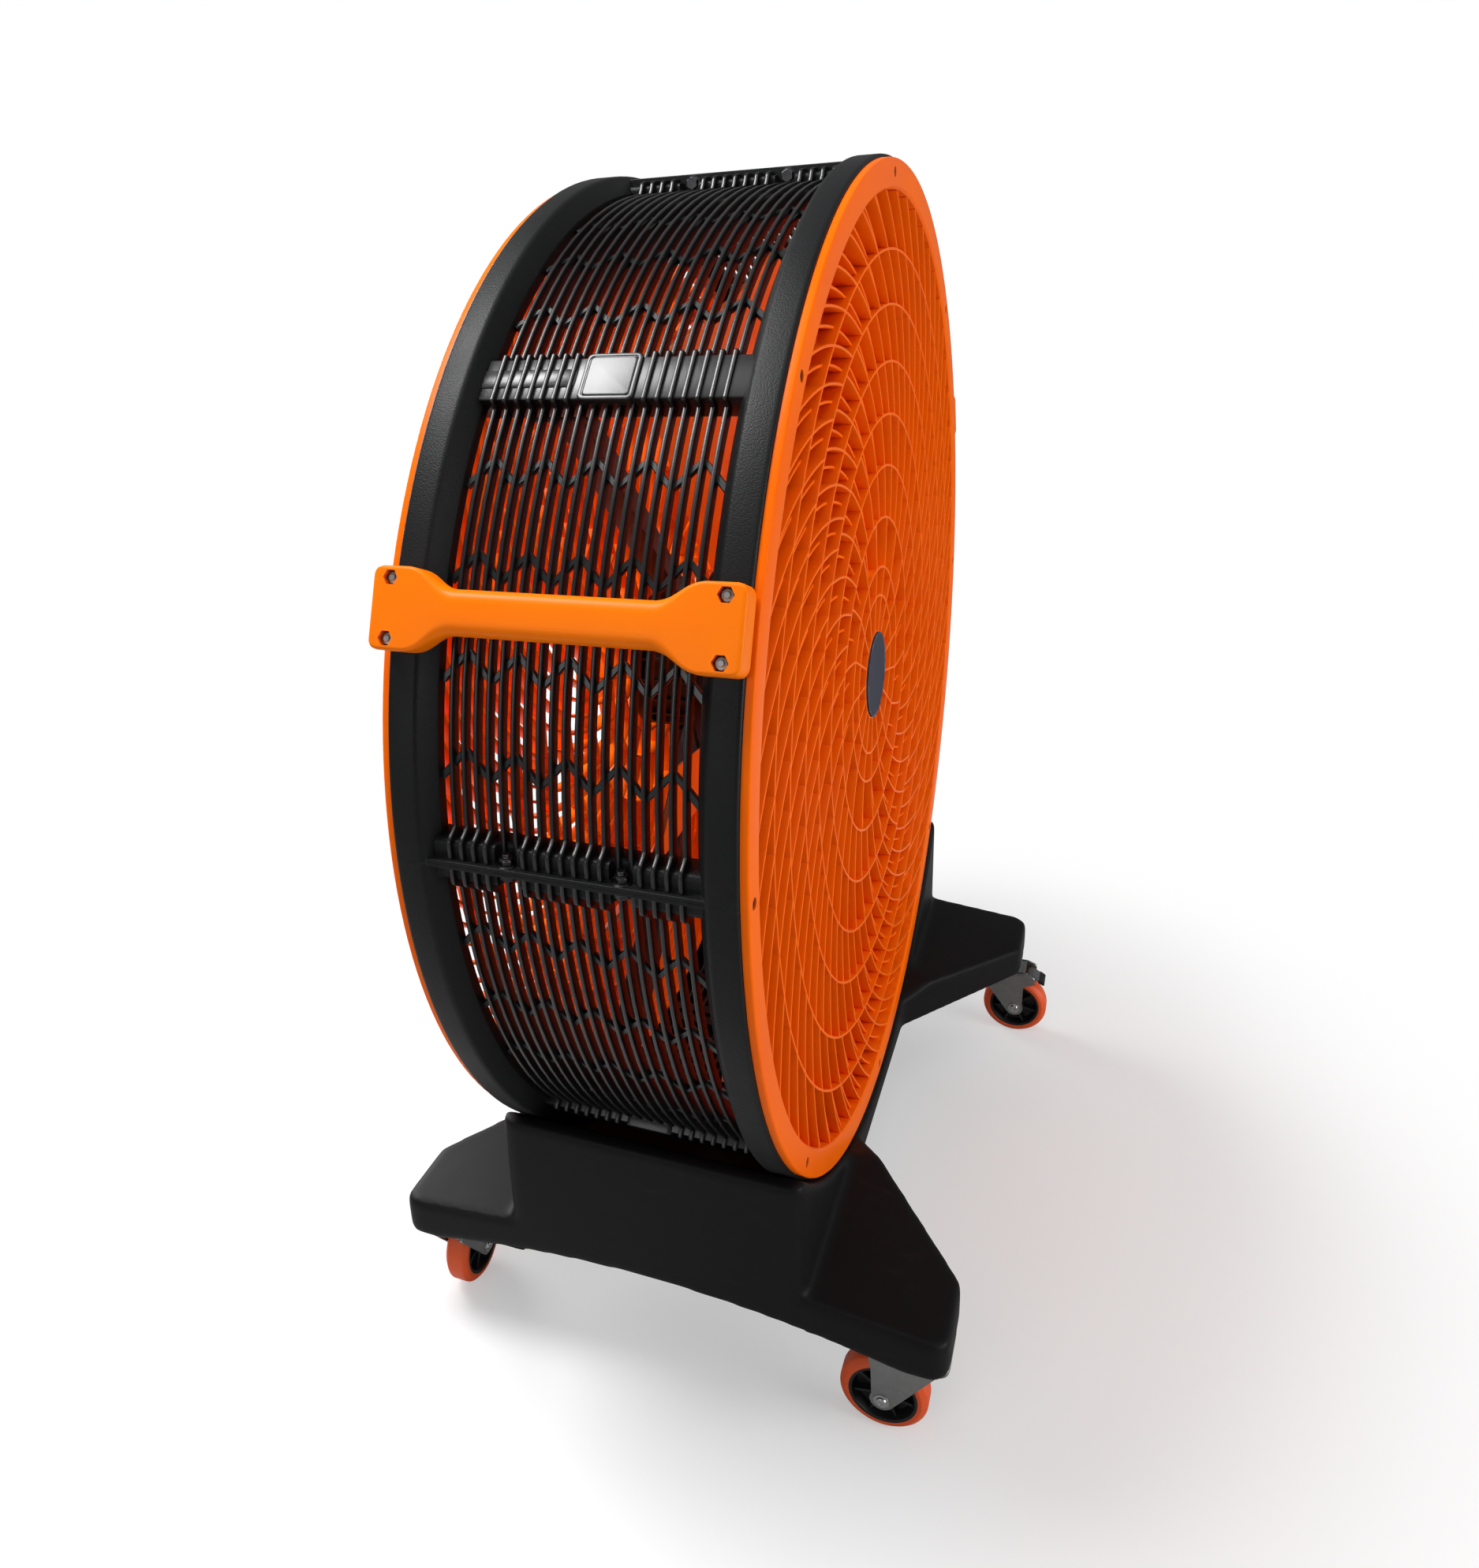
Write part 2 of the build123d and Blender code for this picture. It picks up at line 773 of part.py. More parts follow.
def motor_housing():
    """Finned motor barrel with the rotor's bore."""
    step = 360.0 / motor_fin_count
    outline = []
    for index in range(motor_fin_count):
        for radius in (motor_radius, motor_outer):
            outline.append(beside(index * step, radius, -motor_fin_width / 2))
        for radius in (motor_outer, motor_radius):
            outline.append(beside(index * step, radius, motor_fin_width / 2))
    return slab(face(outline) - Circle(rotor_radius + rotor_gap), barrel_front, barrel_rear)


def bell(near, far, bearing_near):
    """End cover of the motor with its bearing seat."""
    body = rod_y(motor_outer, near, far) - rod_y(shaft_radius + rotor_gap, near, far, bearing_sides)
    return body - rod_y(bearing_radius + fixed_gap, bearing_near, bearing_near + bearing_width, bearing_sides)


def bearing(near):
    far = near + bearing_width
    return rod_y(bearing_radius, near, far, bearing_sides) - rod_y(shaft_radius + running_gap, near, far)


def terminal_box():
    """Square box under the motor, with a gland hole facing down."""
    top = -motor_outer - seat_gap
    box = Box(terminal_width, terminal_depth, terminal_height)
    box = Pos(0, terminal_middle, top - terminal_height / 2) * box
    hole = rod_z(gland_radius, top - terminal_height, top - terminal_height + gland_hole_depth, gland_sides)
    return box - Pos(0, terminal_middle, 0) * hole


def cable_gland():
    low = -motor_outer - seat_gap - terminal_height
    nut = rod_z(gland_nut, low - gland_nut_height, low, 6)
    neck = rod_z(gland_radius - seat_gap, low, low + gland_neck, gland_sides)
    gland = (nut + neck) - rod_z(gland_bore, low - gland_nut_height, low + gland_neck, gland_sides)
    return Pos(0, terminal_middle, 0) * gland


def main():
    sector = drum_sector()
    for name, centre in (("top_right", 45), ("top_left", 135), ("bottom_left", 225), ("bottom_right", 315)):
        save(lifted(turned(sector, centre)), "drum_sector_" + name)
    save(lifted(grille(front_bands, front_sweeps, front_grille_depth, doubled_bands)), "front_grille")
    rear = grille(rear_bands, rear_sweeps, rear_grille_depth, 0)
    save(lifted(about_face(rear)), "rear_grille")
    save_group([lifted(screw) for screw in ring_screws()], "front_grille_screws")
    save_group([lifted(about_face(screw)) for screw in ring_screws()], "rear_grille_screws")
    save(lifted(hub_badge()), "hub_badge")
    save_group(flange_hardware(1), "flange_bolts")
    save_group(flange_hardware(-1), "flange_nuts")
    grip = handle()
    save(lifted(turned(grip, handle_angle)), "handle_right")
    save(lifted(turned(grip, 180 - handle_angle)), "handle_left")
    bolts = handle_bolts(handle_angle) + handle_bolts(180 - handle_angle)
    save_group([lifted(bolt) for bolt in bolts], "handle_bolts")
    save(base(), "base")
    save_group(cradle_bolts(), "cradle_bolts")
    caster("front_left", (-caster_x, -caster_y), 0, False)
    caster("front_right", (caster_x, -caster_y), 180, True)
    caster("rear_left", (-caster_x, caster_y), -90, False)
    caster("rear_right", (caster_x, caster_y), 0, True)
    save_group(caster_bolts(), "caster_bolts")
    save(lifted(impeller()), "impeller")
    save(lifted(rod_y(shaft_radius, shaft_front, motor_rear - shaft_tail)), "motor_shaft")
    save(lifted(hub_nut()), "hub_nut")
    save(lifted(rotor()), "motor_rotor")
    save(lifted(mount()), "motor_mount")
    arm = strut()
    save_group([lifted(turned(arm, 45 + 90 * index)) for index in range(4)], "motor_struts")
    save_group(strut_bolts(), "strut_bolts")
    save(lifted(motor_housing()), "motor_housing")
    save(lifted(bell(mount_face, barrel_front, front_bearing_seat)), "motor_front_bell")
    save(lifted(bell(barrel_rear, motor_rear, rear_bearing_seat)), "motor_rear_bell")
    save(lifted(bearing(front_bearing_seat)), "front_bearing")
    save(lifted(bearing(rear_bearing_seat)), "rear_bearing")
    save_group(motor_bolts(), "motor_bolts")
    save(lifted(terminal_box()), "terminal_box")
    save(lifted(cable_gland()), "cable_gland")


main()
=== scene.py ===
import json
import math

import bmesh
import bpy
from mathutils import Matrix, Vector

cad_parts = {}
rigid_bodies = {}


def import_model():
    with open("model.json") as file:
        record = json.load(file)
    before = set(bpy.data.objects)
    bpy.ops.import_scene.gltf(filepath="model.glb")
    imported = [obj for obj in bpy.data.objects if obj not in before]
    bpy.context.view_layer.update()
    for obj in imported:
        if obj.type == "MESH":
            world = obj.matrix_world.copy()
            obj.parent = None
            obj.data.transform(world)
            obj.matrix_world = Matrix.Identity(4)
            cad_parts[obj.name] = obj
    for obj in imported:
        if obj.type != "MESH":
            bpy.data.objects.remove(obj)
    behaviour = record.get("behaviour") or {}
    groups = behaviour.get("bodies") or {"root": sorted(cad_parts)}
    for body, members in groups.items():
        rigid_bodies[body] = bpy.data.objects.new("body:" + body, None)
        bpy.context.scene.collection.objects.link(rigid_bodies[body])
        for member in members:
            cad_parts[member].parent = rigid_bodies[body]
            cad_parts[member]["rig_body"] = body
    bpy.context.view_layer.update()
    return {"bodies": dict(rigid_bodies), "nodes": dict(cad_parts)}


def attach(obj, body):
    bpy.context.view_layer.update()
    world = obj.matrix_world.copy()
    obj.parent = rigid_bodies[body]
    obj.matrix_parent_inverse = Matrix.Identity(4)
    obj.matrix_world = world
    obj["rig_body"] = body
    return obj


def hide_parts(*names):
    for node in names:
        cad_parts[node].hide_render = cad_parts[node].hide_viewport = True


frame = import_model()
print("frame loaded with", len(frame["nodes"]), "nodes")

mm = 0.001  # sizes below are in millimetres, meshes in metres
fanAxis = 763.0  # height of the fan axis above the floor
frontFace = -175.0  # front of the ring; air leaves towards -Y


# Node helpers

def addNode(tree, kind, feeds=None, **settings):  # a feed is a value or another node's socket
    node = tree.nodes.new(kind)
    for key, value in settings.items():
        setattr(node, key, value)
    for key, value in (feeds or {}).items():
        if isinstance(value, bpy.types.NodeSocket):
            tree.links.new(value, node.inputs[key])
        else:
            node.inputs[key].default_value = value
    return node


def addFlow(tree, kind, feeds=None, **settings):  # the new node's first output
    return addNode(tree, kind, feeds, **settings).outputs[0]


def reckon(tree, operation, first, second=0.0, third=0.0, kind="ShaderNodeMath"):
    return addFlow(tree, kind, {0: first, 1: second, 2: third}, operation=operation)


def startGroup(name, kind, inputs, outputs):
    tree = bpy.data.node_groups.new(name, kind)
    for label, (socketType, value) in inputs.items():
        socket = tree.interface.new_socket(label, in_out="INPUT", socket_type="NodeSocket" + socketType)
        if value is not None:
            socket.default_value = value
    for label, socketType in outputs.items():
        tree.interface.new_socket(label, in_out="OUTPUT", socket_type="NodeSocket" + socketType)
    return tree, tree.nodes.new("NodeGroupInput").outputs, tree.nodes.new("NodeGroupOutput").inputs


# Camera, light and floor

viewpoint = {
    "place": (-1.4447, -0.4384, 1.2892),
    "azimuth": -66.08,
    "elevation": 19.72,
    "roll": -3.66,
    "lens": 27.79,
    "shift": (0.0814, -0.0652),
}


def placeCamera(values):
    azimuth, elevation, roll = (math.radians(values[key]) for key in ("azimuth", "elevation", "roll"))
    level = math.cos(elevation)
    back = Vector((math.sin(azimuth) * level, -math.cos(azimuth) * level, math.sin(elevation)))
    side = (-back).cross(Vector((0, 0, 1))).normalized()
    upright = side.cross(-back)
    across = side * math.cos(roll) + upright * math.sin(roll)
    up = upright * math.cos(roll) - side * math.sin(roll)
    lens = bpy.data.cameras.new("photoLens")
    lens.sensor_width = 36.0
    lens.lens = values["lens"]
    lens.shift_x, lens.shift_y = values["shift"]
    camera = bpy.data.objects.new("photoCamera", lens)
    turn = Matrix((across, up, back)).transposed().to_4x4()
    camera.matrix_world = Matrix.Translation(values["place"]) @ turn
    bpy.context.scene.collection.objects.link(camera)
    bpy.context.scene.camera = camera


lamps = {
    "overhead": {"place": (-0.9, -0.7, 3.3), "target": (0, 0, 0.9), "size": 2.0, "power": 14.0},
    "barGlint": {"place": (-0.68, 1.25, 3.6), "target": (-0.42, 0, 1.18), "size": 1.4, "power": 112.0},
    "leftPanel": {"place": (-3.4, 1.0, 1.6), "target": (0, 0, 0.7), "size": 1.8, "power": 16.0},
    "frontPanel": {"place": (-0.4, -3.6, 1.2), "target": (0, 0, 0.6), "size": 2.2, "power": 80.0},
    "rearFill": {"place": (1.4, 3.0, 1.7), "target": (0, 0, 0.8), "size": 2.0, "power": 84.0},
}


def placeLamps(values):
    for name, lamp in values.items():
        light = bpy.data.lights.new(name, "AREA")
        light.shape = "DISK"
        light.size = lamp["size"]
        light.energy = lamp["power"]
        holder = bpy.data.objects.new(name, light)
        place = Vector(lamp["place"])
        holder.location = place
        holder.rotation_euler = (Vector(lamp["target"]) - place).to_track_quat("-Z", "Y").to_euler()
        bpy.context.scene.collection.objects.link(holder)


surroundings = {
    "ambient": 0.22,  # glow of the white world on surfaces
    "floorHalf": 9.0,
    "floorTone": 0.50,
    "shadeReach": (0.3, 1.3),  # metres from the middle; the floor's painted shadow is deepest under the fan
    "shadeGlow": (0.38, 0.50),
    "fadeReach": (0.6, 1.2),  # beyond it the floor melts into the white backdrop
}


def backdropFactor(tree):  # 1 for rays from the camera or through glass, which see the white backdrop
    path = addNode(tree, "ShaderNodeLightPath").outputs
    return reckon(tree, "MAXIMUM", path["Is Camera Ray"], path["Is Transmission Ray"])


def noiseAt(tree, where, scale, detail, rough=0.5):
    feeds = {"Vector": where, "Scale": scale, "Detail": detail, "Roughness": rough}
    return addFlow(tree, "ShaderNodeTexNoise", feeds)


def mapRange(tree, value, fromSpan=(0.0, 1.0), toSpan=(0.0, 1.0), **settings):
    spans = dict(zip(("From Min", "From Max", "To Min", "To Max"), (*fromSpan, *toSpan)))
    return addFlow(tree, "ShaderNodeMapRange", {"Value": value, **spans}, **settings)


def paintWorld(values):
    world = bpy.data.worlds.new("studioWorld")
    world.use_nodes = True
    tree = world.node_tree
    tree.nodes.clear()
    strength = mapRange(tree, backdropFactor(tree), toSpan=(values["ambient"], 1.0))
    glow = addNode(tree, "ShaderNodeBackground", {"Color": (1, 1, 1, 1), "Strength": strength})
    addNode(tree, "ShaderNodeOutputWorld", {"Surface": glow.outputs[0]})
    bpy.context.scene.world = world


def layFloor(values):
    half, tone = values["floorHalf"], values["floorTone"]
    corners = [(-half, -half, 0), (half, -half, 0), (half, half, 0), (-half, half, 0)]
    mesh = bpy.data.meshes.new("studioFloor")
    mesh.from_pydata(corners, [], [(0, 1, 2, 3)])
    floor = bpy.data.objects.new("studioFloor", mesh)
    bpy.context.scene.collection.objects.link(floor)
    finish = bpy.data.materials.new("paleFloor")
    finish.use_nodes = True
    tree = finish.node_tree
    tree.nodes.clear()
    where = addNode(tree, "ShaderNodeTexCoord").outputs["Object"]
    reach = addNode(tree, "ShaderNodeVectorMath", {0: where}, operation="LENGTH").outputs["Value"]
    matt = addFlow(tree, "ShaderNodeBsdfDiffuse", {"Color": (tone, tone, tone, 1)})
    # painted shadow: the floor's glow is dimmer near the middle, so the floor looks shaded under the fan
    paintedShadowPool = mapRange(tree, reach, values["shadeReach"], values["shadeGlow"])
    glow = addFlow(tree, "ShaderNodeEmission", {"Color": (1, 1, 1, 1), "Strength": paintedShadowPool})
    shaded = addFlow(tree, "ShaderNodeAddShader", {0: matt, 1: glow})
    white = addFlow(tree, "ShaderNodeEmission", {"Color": (1, 1, 1, 1)})
    fade = mapRange(tree, reach, values["fadeReach"], interpolation_type="SMOOTHSTEP")
    seen = addFlow(tree, "ShaderNodeMixShader", {0: fade, 1: shaded, 2: white})
    pick = addFlow(tree, "ShaderNodeMixShader", {0: backdropFactor(tree), 1: matt, 2: seen})
    addNode(tree, "ShaderNodeOutputMaterial", {"Surface": pick})
    mesh.materials.append(finish)


placeCamera(viewpoint)
placeLamps(lamps)
paintWorld(surroundings)
layFloor(surroundings)
bpy.context.scene.view_settings.view_transform = "Standard"
print("camera, lamps and floor placed")


# Shared surface effects

def makeGrain():  # pebbled moulding grain: heights, and a mask of the hollows between pebbles, for painted shade
    tree, given, out = startGroup(
        "mouldedGrain",
        "ShaderNodeTree",
        {"Cells per metre": ("Float", 700.0), "Softness": ("Float", 0.5)},
        {"Height": "Float", "ValleyShade": "Float"},
    )
    where = addNode(tree, "ShaderNodeTexCoord").outputs["Object"]
    wobble = noiseAt(tree, where, given["Cells per metre"], 2.0)
    feeds = {"Vector": where, "Scale": given["Cells per metre"], "Smoothness": given["Softness"]}
    pebbles = addNode(tree, "ShaderNodeTexVoronoi", feeds, feature="SMOOTH_F1")
    raised = reckon(tree, "SUBTRACT", 1.0, pebbles.outputs["Distance"])
    tree.links.new(reckon(tree, "MULTIPLY_ADD", wobble, 0.5, raised), out["Height"])
    # mask for painted shade in the hollows between the pebbles
    tree.links.new(mapRange(tree, pebbles.outputs["Distance"], (0.35, 0.75)), out["ValleyShade"])
    return tree


def makeEdgeWear():  # mask of outer edges that have rubbed smooth, broken up by noise
    tree, given, out = startGroup(
        "edgeWear",
        "ShaderNodeTree",
        {"Reach": ("Float", 0.0015), "Breakup": ("Float", 60.0), "Amount": ("Float", 1.0)},
        {"Mask": "Float"},
    )
    rounded = addFlow(tree, "ShaderNodeBevel", {"Radius": given["Reach"]}, samples=4)
    sharp = addNode(tree, "ShaderNodeNewGeometry").outputs["Normal"]
    facing = addNode(tree, "ShaderNodeVectorMath", {0: rounded, 1: sharp}, operation="DOT_PRODUCT")
    edge = mapRange(tree, facing.outputs["Value"], (0.995, 0.86))
    where = addNode(tree, "ShaderNodeTexCoord").outputs["Object"]
    share = mapRange(tree, noiseAt(tree, where, given["Breakup"], 3.0), (0.35, 0.65))
    worn = reckon(tree, "MULTIPLY", edge, share)
    tree.links.new(reckon(tree, "MULTIPLY", worn, given["Amount"]), out["Mask"])
    return tree


def makeCloudy():  # slow drift of tone from the moulding, and small scuffs and dust specks
    tree, given, out = startGroup(
        "cloudyTone",
        "ShaderNodeTree",
        {"Clouds per metre": ("Float", 9.0), "Scuffs per metre": ("Float", 45.0)},
        {"Drift": "Float", "Scuffs": "Float"},
    )
    where = addNode(tree, "ShaderNodeTexCoord").outputs["Object"]
    tree.links.new(noiseAt(tree, where, given["Clouds per metre"], 4.0), out["Drift"])
    stretched = addFlow(tree, "ShaderNodeMapping", {"Vector": where, "Scale": (1.0, 0.22, 1.0)})
    streaks = noiseAt(tree, stretched, given["Scuffs per metre"], 8.0, 0.72)
    tree.links.new(mapRange(tree, streaks, (0.60, 0.74)), out["Scuffs"])
    return tree


def makeBrushed():  # fine rolling lines of sheet steel
    tree, given, out = startGroup(
        "rolledSteel",
        "ShaderNodeTree",
        {"Lines per metre": ("Float", 900.0)},
        {"Height": "Float", "Tone": "Float"},
    )
    where = addNode(tree, "ShaderNodeTexCoord").outputs["Object"]
    drawn = addFlow(tree, "ShaderNodeMapping", {"Vector": where, "Scale": (1.0, 0.05, 1.0)})
    tree.links.new(noiseAt(tree, drawn, given["Lines per metre"], 3.0), out["Height"])
    spangle = addNode(tree, "ShaderNodeTexVoronoi", {"Vector": where, "Scale": 160.0})
    tree.links.new(mapRange(tree, spangle.outputs["Color"], toSpan=(0.35, 0.65)), out["Tone"])
    return tree


effects = {"grain": makeGrain(), "wear": makeEdgeWear(), "cloudy": makeCloudy(), "rolled": makeBrushed()}


def linear(color):  # from the 0-255 values that a photograph shows
    parts = [channel / 255 for channel in color]
    return tuple(p / 12.92 if p <= 0.04045 else ((p + 0.055) / 1.055) ** 2.4 for p in parts) + (1.0,)


def addEffect(tree, effect, **values):
    node = tree.nodes.new("ShaderNodeGroup")
    node.node_tree = effects[effect]
    for label, value in values.items():
        node.inputs[label.replace("_", " ")].default_value = value
    return node.outputs


def mixColor(tree, share, first, second):
    return addNode(tree, "ShaderNodeMix", {0: share, 6: first, 7: second}, data_type="RGBA").outputs[2]


def plasticFinish(name, values):
    finish = bpy.data.materials.new(name)
    finish.use_nodes = True
    tree = finish.node_tree
    shader = tree.nodes["Principled BSDF"]
    clouds, scuffScale = values.get("clouds", 9.0), values.get("scuffScale", 45.0)
    cloudy = addEffect(tree, "cloudy", Clouds_per_metre=clouds, Scuffs_per_metre=scuffScale)
    grain = addEffect(tree, "grain", Cells_per_metre=values["cells"])
    wear = addEffect(tree, "wear", Reach=values.get("wearReach", 0.0015), Amount=values["wear"])
    tone = mixColor(tree, cloudy["Drift"], linear(values["dark"]), linear(values["light"]))
    # painted shade: the hollows between the grain's pebbles are darkened towards the dark tone
    paintedValleyShade = reckon(tree, "MULTIPLY", grain["ValleyShade"], values.get("valleyShadeTone", 0.25))
    tone = mixColor(tree, paintedValleyShade, tone, linear(values["dark"]))
    rubbed = reckon(tree, "MULTIPLY", cloudy["Scuffs"], values["scuffs"])
    tone = mixColor(tree, rubbed, tone, linear(values["scuffColor"]))
    tone = mixColor(tree, wear["Mask"], tone, linear(values["wearColor"]))
    tree.links.new(tone, shader.inputs["Base Color"])
    rough = mapRange(tree, cloudy["Drift"], (0.3, 0.7), values["roughness"])
    scuffed = reckon(tree, "MULTIPLY_ADD", rubbed, 0.25, rough)
    tree.links.new(scuffed, shader.inputs["Roughness"])
    shader.inputs["Specular IOR Level"].default_value = values.get("specular", 0.5)
    depth = values.get("grainDepth", 0.0002)
    relief = {"Height": grain["Height"], "Strength": values["bump"], "Distance": depth}
    tree.links.new(addFlow(tree, "ShaderNodeBump", relief), shader.inputs["Normal"])
    if "glow" in values:
        shader.inputs["Subsurface Weight"].default_value = values["glow"]
        shader.inputs["Subsurface Radius"].default_value = (0.004, 0.0012, 0.0004)
        shader.inputs["Subsurface Scale"].default_value = 1.0
    return finish


def metalFinish(name, values):
    finish = bpy.data.materials.new(name)
    finish.use_nodes = True
    tree = finish.node_tree
    shader = tree.nodes["Principled BSDF"]
    cloudy = addEffect(tree, "cloudy", Clouds_per_metre=30.0, Scuffs_per_metre=90.0)
    rolled = addEffect(tree, "rolled", Lines_per_metre=900.0)
    wear = addEffect(tree, "wear", Reach=0.0008, Amount=values["wear"])
    tone = mixColor(tree, rolled["Tone"], linear(values["dark"]), linear(values["light"]))
    tone = mixColor(tree, wear["Mask"], tone, linear(values["wearColor"]))
    tree.links.new(tone, shader.inputs["Base Color"])
    rough = mapRange(tree, cloudy["Drift"], (0.3, 0.7), values["roughness"])
    tree.links.new(rough, shader.inputs["Roughness"])
    shader.inputs["Metallic"].default_value = 1.0
    relief = {"Height": rolled["Height"], "Strength": values["bump"], "Distance": 0.00005}
    tree.links.new(addFlow(tree, "ShaderNodeBump", relief), shader.inputs["Normal"])
    return finish


plastics = {
    "drumBlack": {
        "dark": (15, 16, 17), "light": (24, 25, 26), "cells": 620.0, "bump": 0.6,
        "grainDepth": 0.0003, "roughness": (0.40, 0.50), "scuffs": 0.12, "scuffColor": (70, 70, 70),
        "wear": 0.4, "wearColor": (80, 82, 84), "specular": 0.16,
    },
    "ribBlack": {
        "dark": (14, 14, 15), "light": (24, 24, 25), "cells": 900.0, "bump": 0.2,
        "roughness": (0.26, 0.34), "scuffs": 0.12, "scuffColor": (70, 70, 70), "wear": 0.35,
        "wearColor": (72, 74, 76), "specular": 0.5,
    },
    "baseBlack": {
        "dark": (16, 16, 17), "light": (24, 24, 25), "cells": 700.0, "bump": 0.14, "clouds": 5.0,
        "roughness": (0.42, 0.52), "scuffs": 0.16, "scuffColor": (60, 60, 60), "wear": 0.2,
        "wearColor": (66, 66, 66), "wearReach": 0.004, "specular": 0.1,
    },
    "grilleOrange": {
        "dark": (246, 98, 2), "light": (253, 112, 4), "cells": 500.0, "bump": 0.08,
        "roughness": (0.28, 0.4), "scuffs": 0.1, "scuffColor": (255, 150, 80), "wear": 0.4,
        "wearColor": (255, 150, 70), "valleyShadeTone": 0.1, "specular": 0.06,
    },
    "handleOrange": {
        "dark": (248, 114, 0), "light": (253, 126, 2), "cells": 420.0, "bump": 0.06,
        "roughness": (0.32, 0.4), "scuffs": 0.14, "scuffColor": (255, 160, 70), "wear": 0.3,
        "wearColor": (255, 164, 76), "valleyShadeTone": 0.08, "specular": 0.1,
    },
    "impellerOrange": {
        "dark": (244, 92, 8), "light": (252, 106, 12), "cells": 300.0, "bump": 0.08,
        "roughness": (0.32, 0.42), "scuffs": 0.16, "scuffColor": (255, 150, 100), "wear": 0.4,
        "wearColor": (255, 150, 90), "valleyShadeTone": 0.1,
    },
    "treadOrange": {
        "dark": (222, 80, 30), "light": (238, 96, 42), "cells": 900.0, "bump": 0.12,
        "roughness": (0.38, 0.5), "scuffs": 0.45, "scuffColor": (120, 66, 44), "scuffScale": 110.0,
        "wear": 0.4, "wearColor": (240, 130, 84), "valleyShadeTone": 0.2, "specular": 0.35, "glow": 0.08,
    },
    "coreBlack": {
        "dark": (14, 14, 15), "light": (26, 26, 27), "cells": 900.0, "bump": 0.15, "specular": 0.35,
        "roughness": (0.36, 0.5), "scuffs": 0.3, "scuffColor": (70, 70, 70), "wear": 0.5,
        "wearColor": (80, 80, 80),
    },
    "hubSlate": {
        "dark": (52, 54, 66), "light": (66, 68, 80), "cells": 1200.0, "bump": 0.05,
        "roughness": (0.55, 0.66), "scuffs": 0.1, "scuffColor": (90, 96, 108), "wear": 0.9,
        "wearColor": (170, 168, 170), "specular": 0.06,
    },
    "motorBlack": {
        "dark": (14, 14, 15), "light": (24, 24, 25), "cells": 1400.0, "bump": 0.3, "specular": 0.35,
        "roughness": (0.3, 0.42), "scuffs": 0.15, "scuffColor": (70, 70, 70), "wear": 0.6,
        "wearColor": (110, 110, 112),
    },
}
metals = {
    "zinc": {
        "dark": (128, 131, 130), "light": (158, 160, 158), "roughness": (0.34, 0.5), "bump": 0.25,
        "wear": 0.5, "wearColor": (190, 190, 188),
    },
    "darkSteel": {
        "dark": (46, 46, 48), "light": (66, 66, 68), "roughness": (0.26, 0.4), "bump": 0.2,
        "wear": 0.8, "wearColor": (150, 150, 152),
    },
    "brightSteel": {
        "dark": (170, 171, 172), "light": (200, 200, 201), "roughness": (0.2, 0.32), "bump": 0.15,
        "wear": 0.4, "wearColor": (225, 225, 225),
    },
}
finishes = {name: plasticFinish(name, values) for name, values in plastics.items()}
finishes.update({name: metalFinish(name, values) for name, values in metals.items()})
print("finishes made:", len(finishes))


# Mesh helpers; a shape is a list of points and a list of faces

def loftShape(rings, closed=False):
    size = len(rings[0])
    points = [point for ring in rings for point in ring]
    faces = []
    for index in range(len(rings) if closed else len(rings) - 1):
        near, far = index * size, (index + 1) % len(rings) * size
        for corner in range(size):
            after = (corner + 1) % size
            faces.append((near + corner, near + after, far + after, far + corner))
    if not closed:
        faces.append(tuple(reversed(range(size))))
        faces.append(tuple(range((len(rings) - 1) * size, len(rings) * size)))
    return points, faces


def turnedRing(outline, turn):  # outline of (radius, depth), turned about the Y axis
    return [(radius * math.cos(turn), depth, radius * math.sin(turn)) for radius, depth in outline]


def latheShape(outline, steps=96, start=0.0, sweep=360.0):  # outline of (radius, depth) about the Y axis
    whole = sweep >= 360.0
    rings = []
    for index in range(steps if whole else steps + 1):
        rings.append(turnedRing(outline, math.radians(start + sweep * index / steps)))
    return loftShape(rings, whole)


def prismShape(outline, near, far):  # outline of (x, z), along Y
    return loftShape([[(x, depth, z) for x, z in outline] for depth in (near, far)])


def softOutline(corners, steps=3):  # corners are (across, up, corner radius)
    outline = []
    for index, (x, y, radius) in enumerate(corners):
        here = Vector((x, y))
        before = Vector(corners[index - 1][:2]) - here
        after = Vector(corners[(index + 1) % len(corners)][:2]) - here
        if radius <= 0:
            outline.append((x, y))
            continue
        half = before.angle(after) / 2
        reach = min(radius / math.tan(half), 0.49 * before.length, 0.49 * after.length)
        start, end = here + before.normalized() * reach, here + after.normalized() * reach
        for step in range(steps + 1):
            share = step / steps
            point = start * (1 - share) ** 2 + here * 2 * share * (1 - share) + end * share**2
            outline.append((point.x, point.y))
    return outline


def softRectangle(low, high, radius, steps):
    corners = (low, (high[0], low[1]), high, (low[0], high[1]))
    return softOutline([(x, y, radius) for x, y in corners], steps)


def roundBox(low, high, radius, steps=2):
    work = bmesh.new()
    bmesh.ops.create_cube(work, size=1.0)
    for vertex in work.verts:
        vertex.co = Vector([low[i] + (vertex.co[i] + 0.5) * (high[i] - low[i]) for i in range(3)])
    if radius:
        edges = work.edges[:]
        bmesh.ops.bevel(work, geom=edges, offset=radius, segments=steps, profile=0.5, affect="EDGES")
    points = [tuple(vertex.co) for vertex in work.verts]
    faces = [tuple(vertex.index for vertex in face.verts) for face in work.faces]
    work.free()
    return points, faces


def spinShape(outline, steps=32):  # outline of (radius, height) about the Z axis
    shape = latheShape(outline, steps)
    return [(x, -z, y) for x, y, z in shape[0]], shape[1]


def hexagon(radius):
    turns = [math.radians(60 * corner) for corner in range(6)]
    return [(radius * math.cos(turn), radius * math.sin(turn)) for turn in turns]


def hexShape(radius, low, high, chamfer):
    levels = ((low, radius), (high - chamfer, radius), (high, radius - 1.4 * chamfer))
    return loftShape([[(x, y, height) for x, y in hexagon(size)] for height, size in levels])


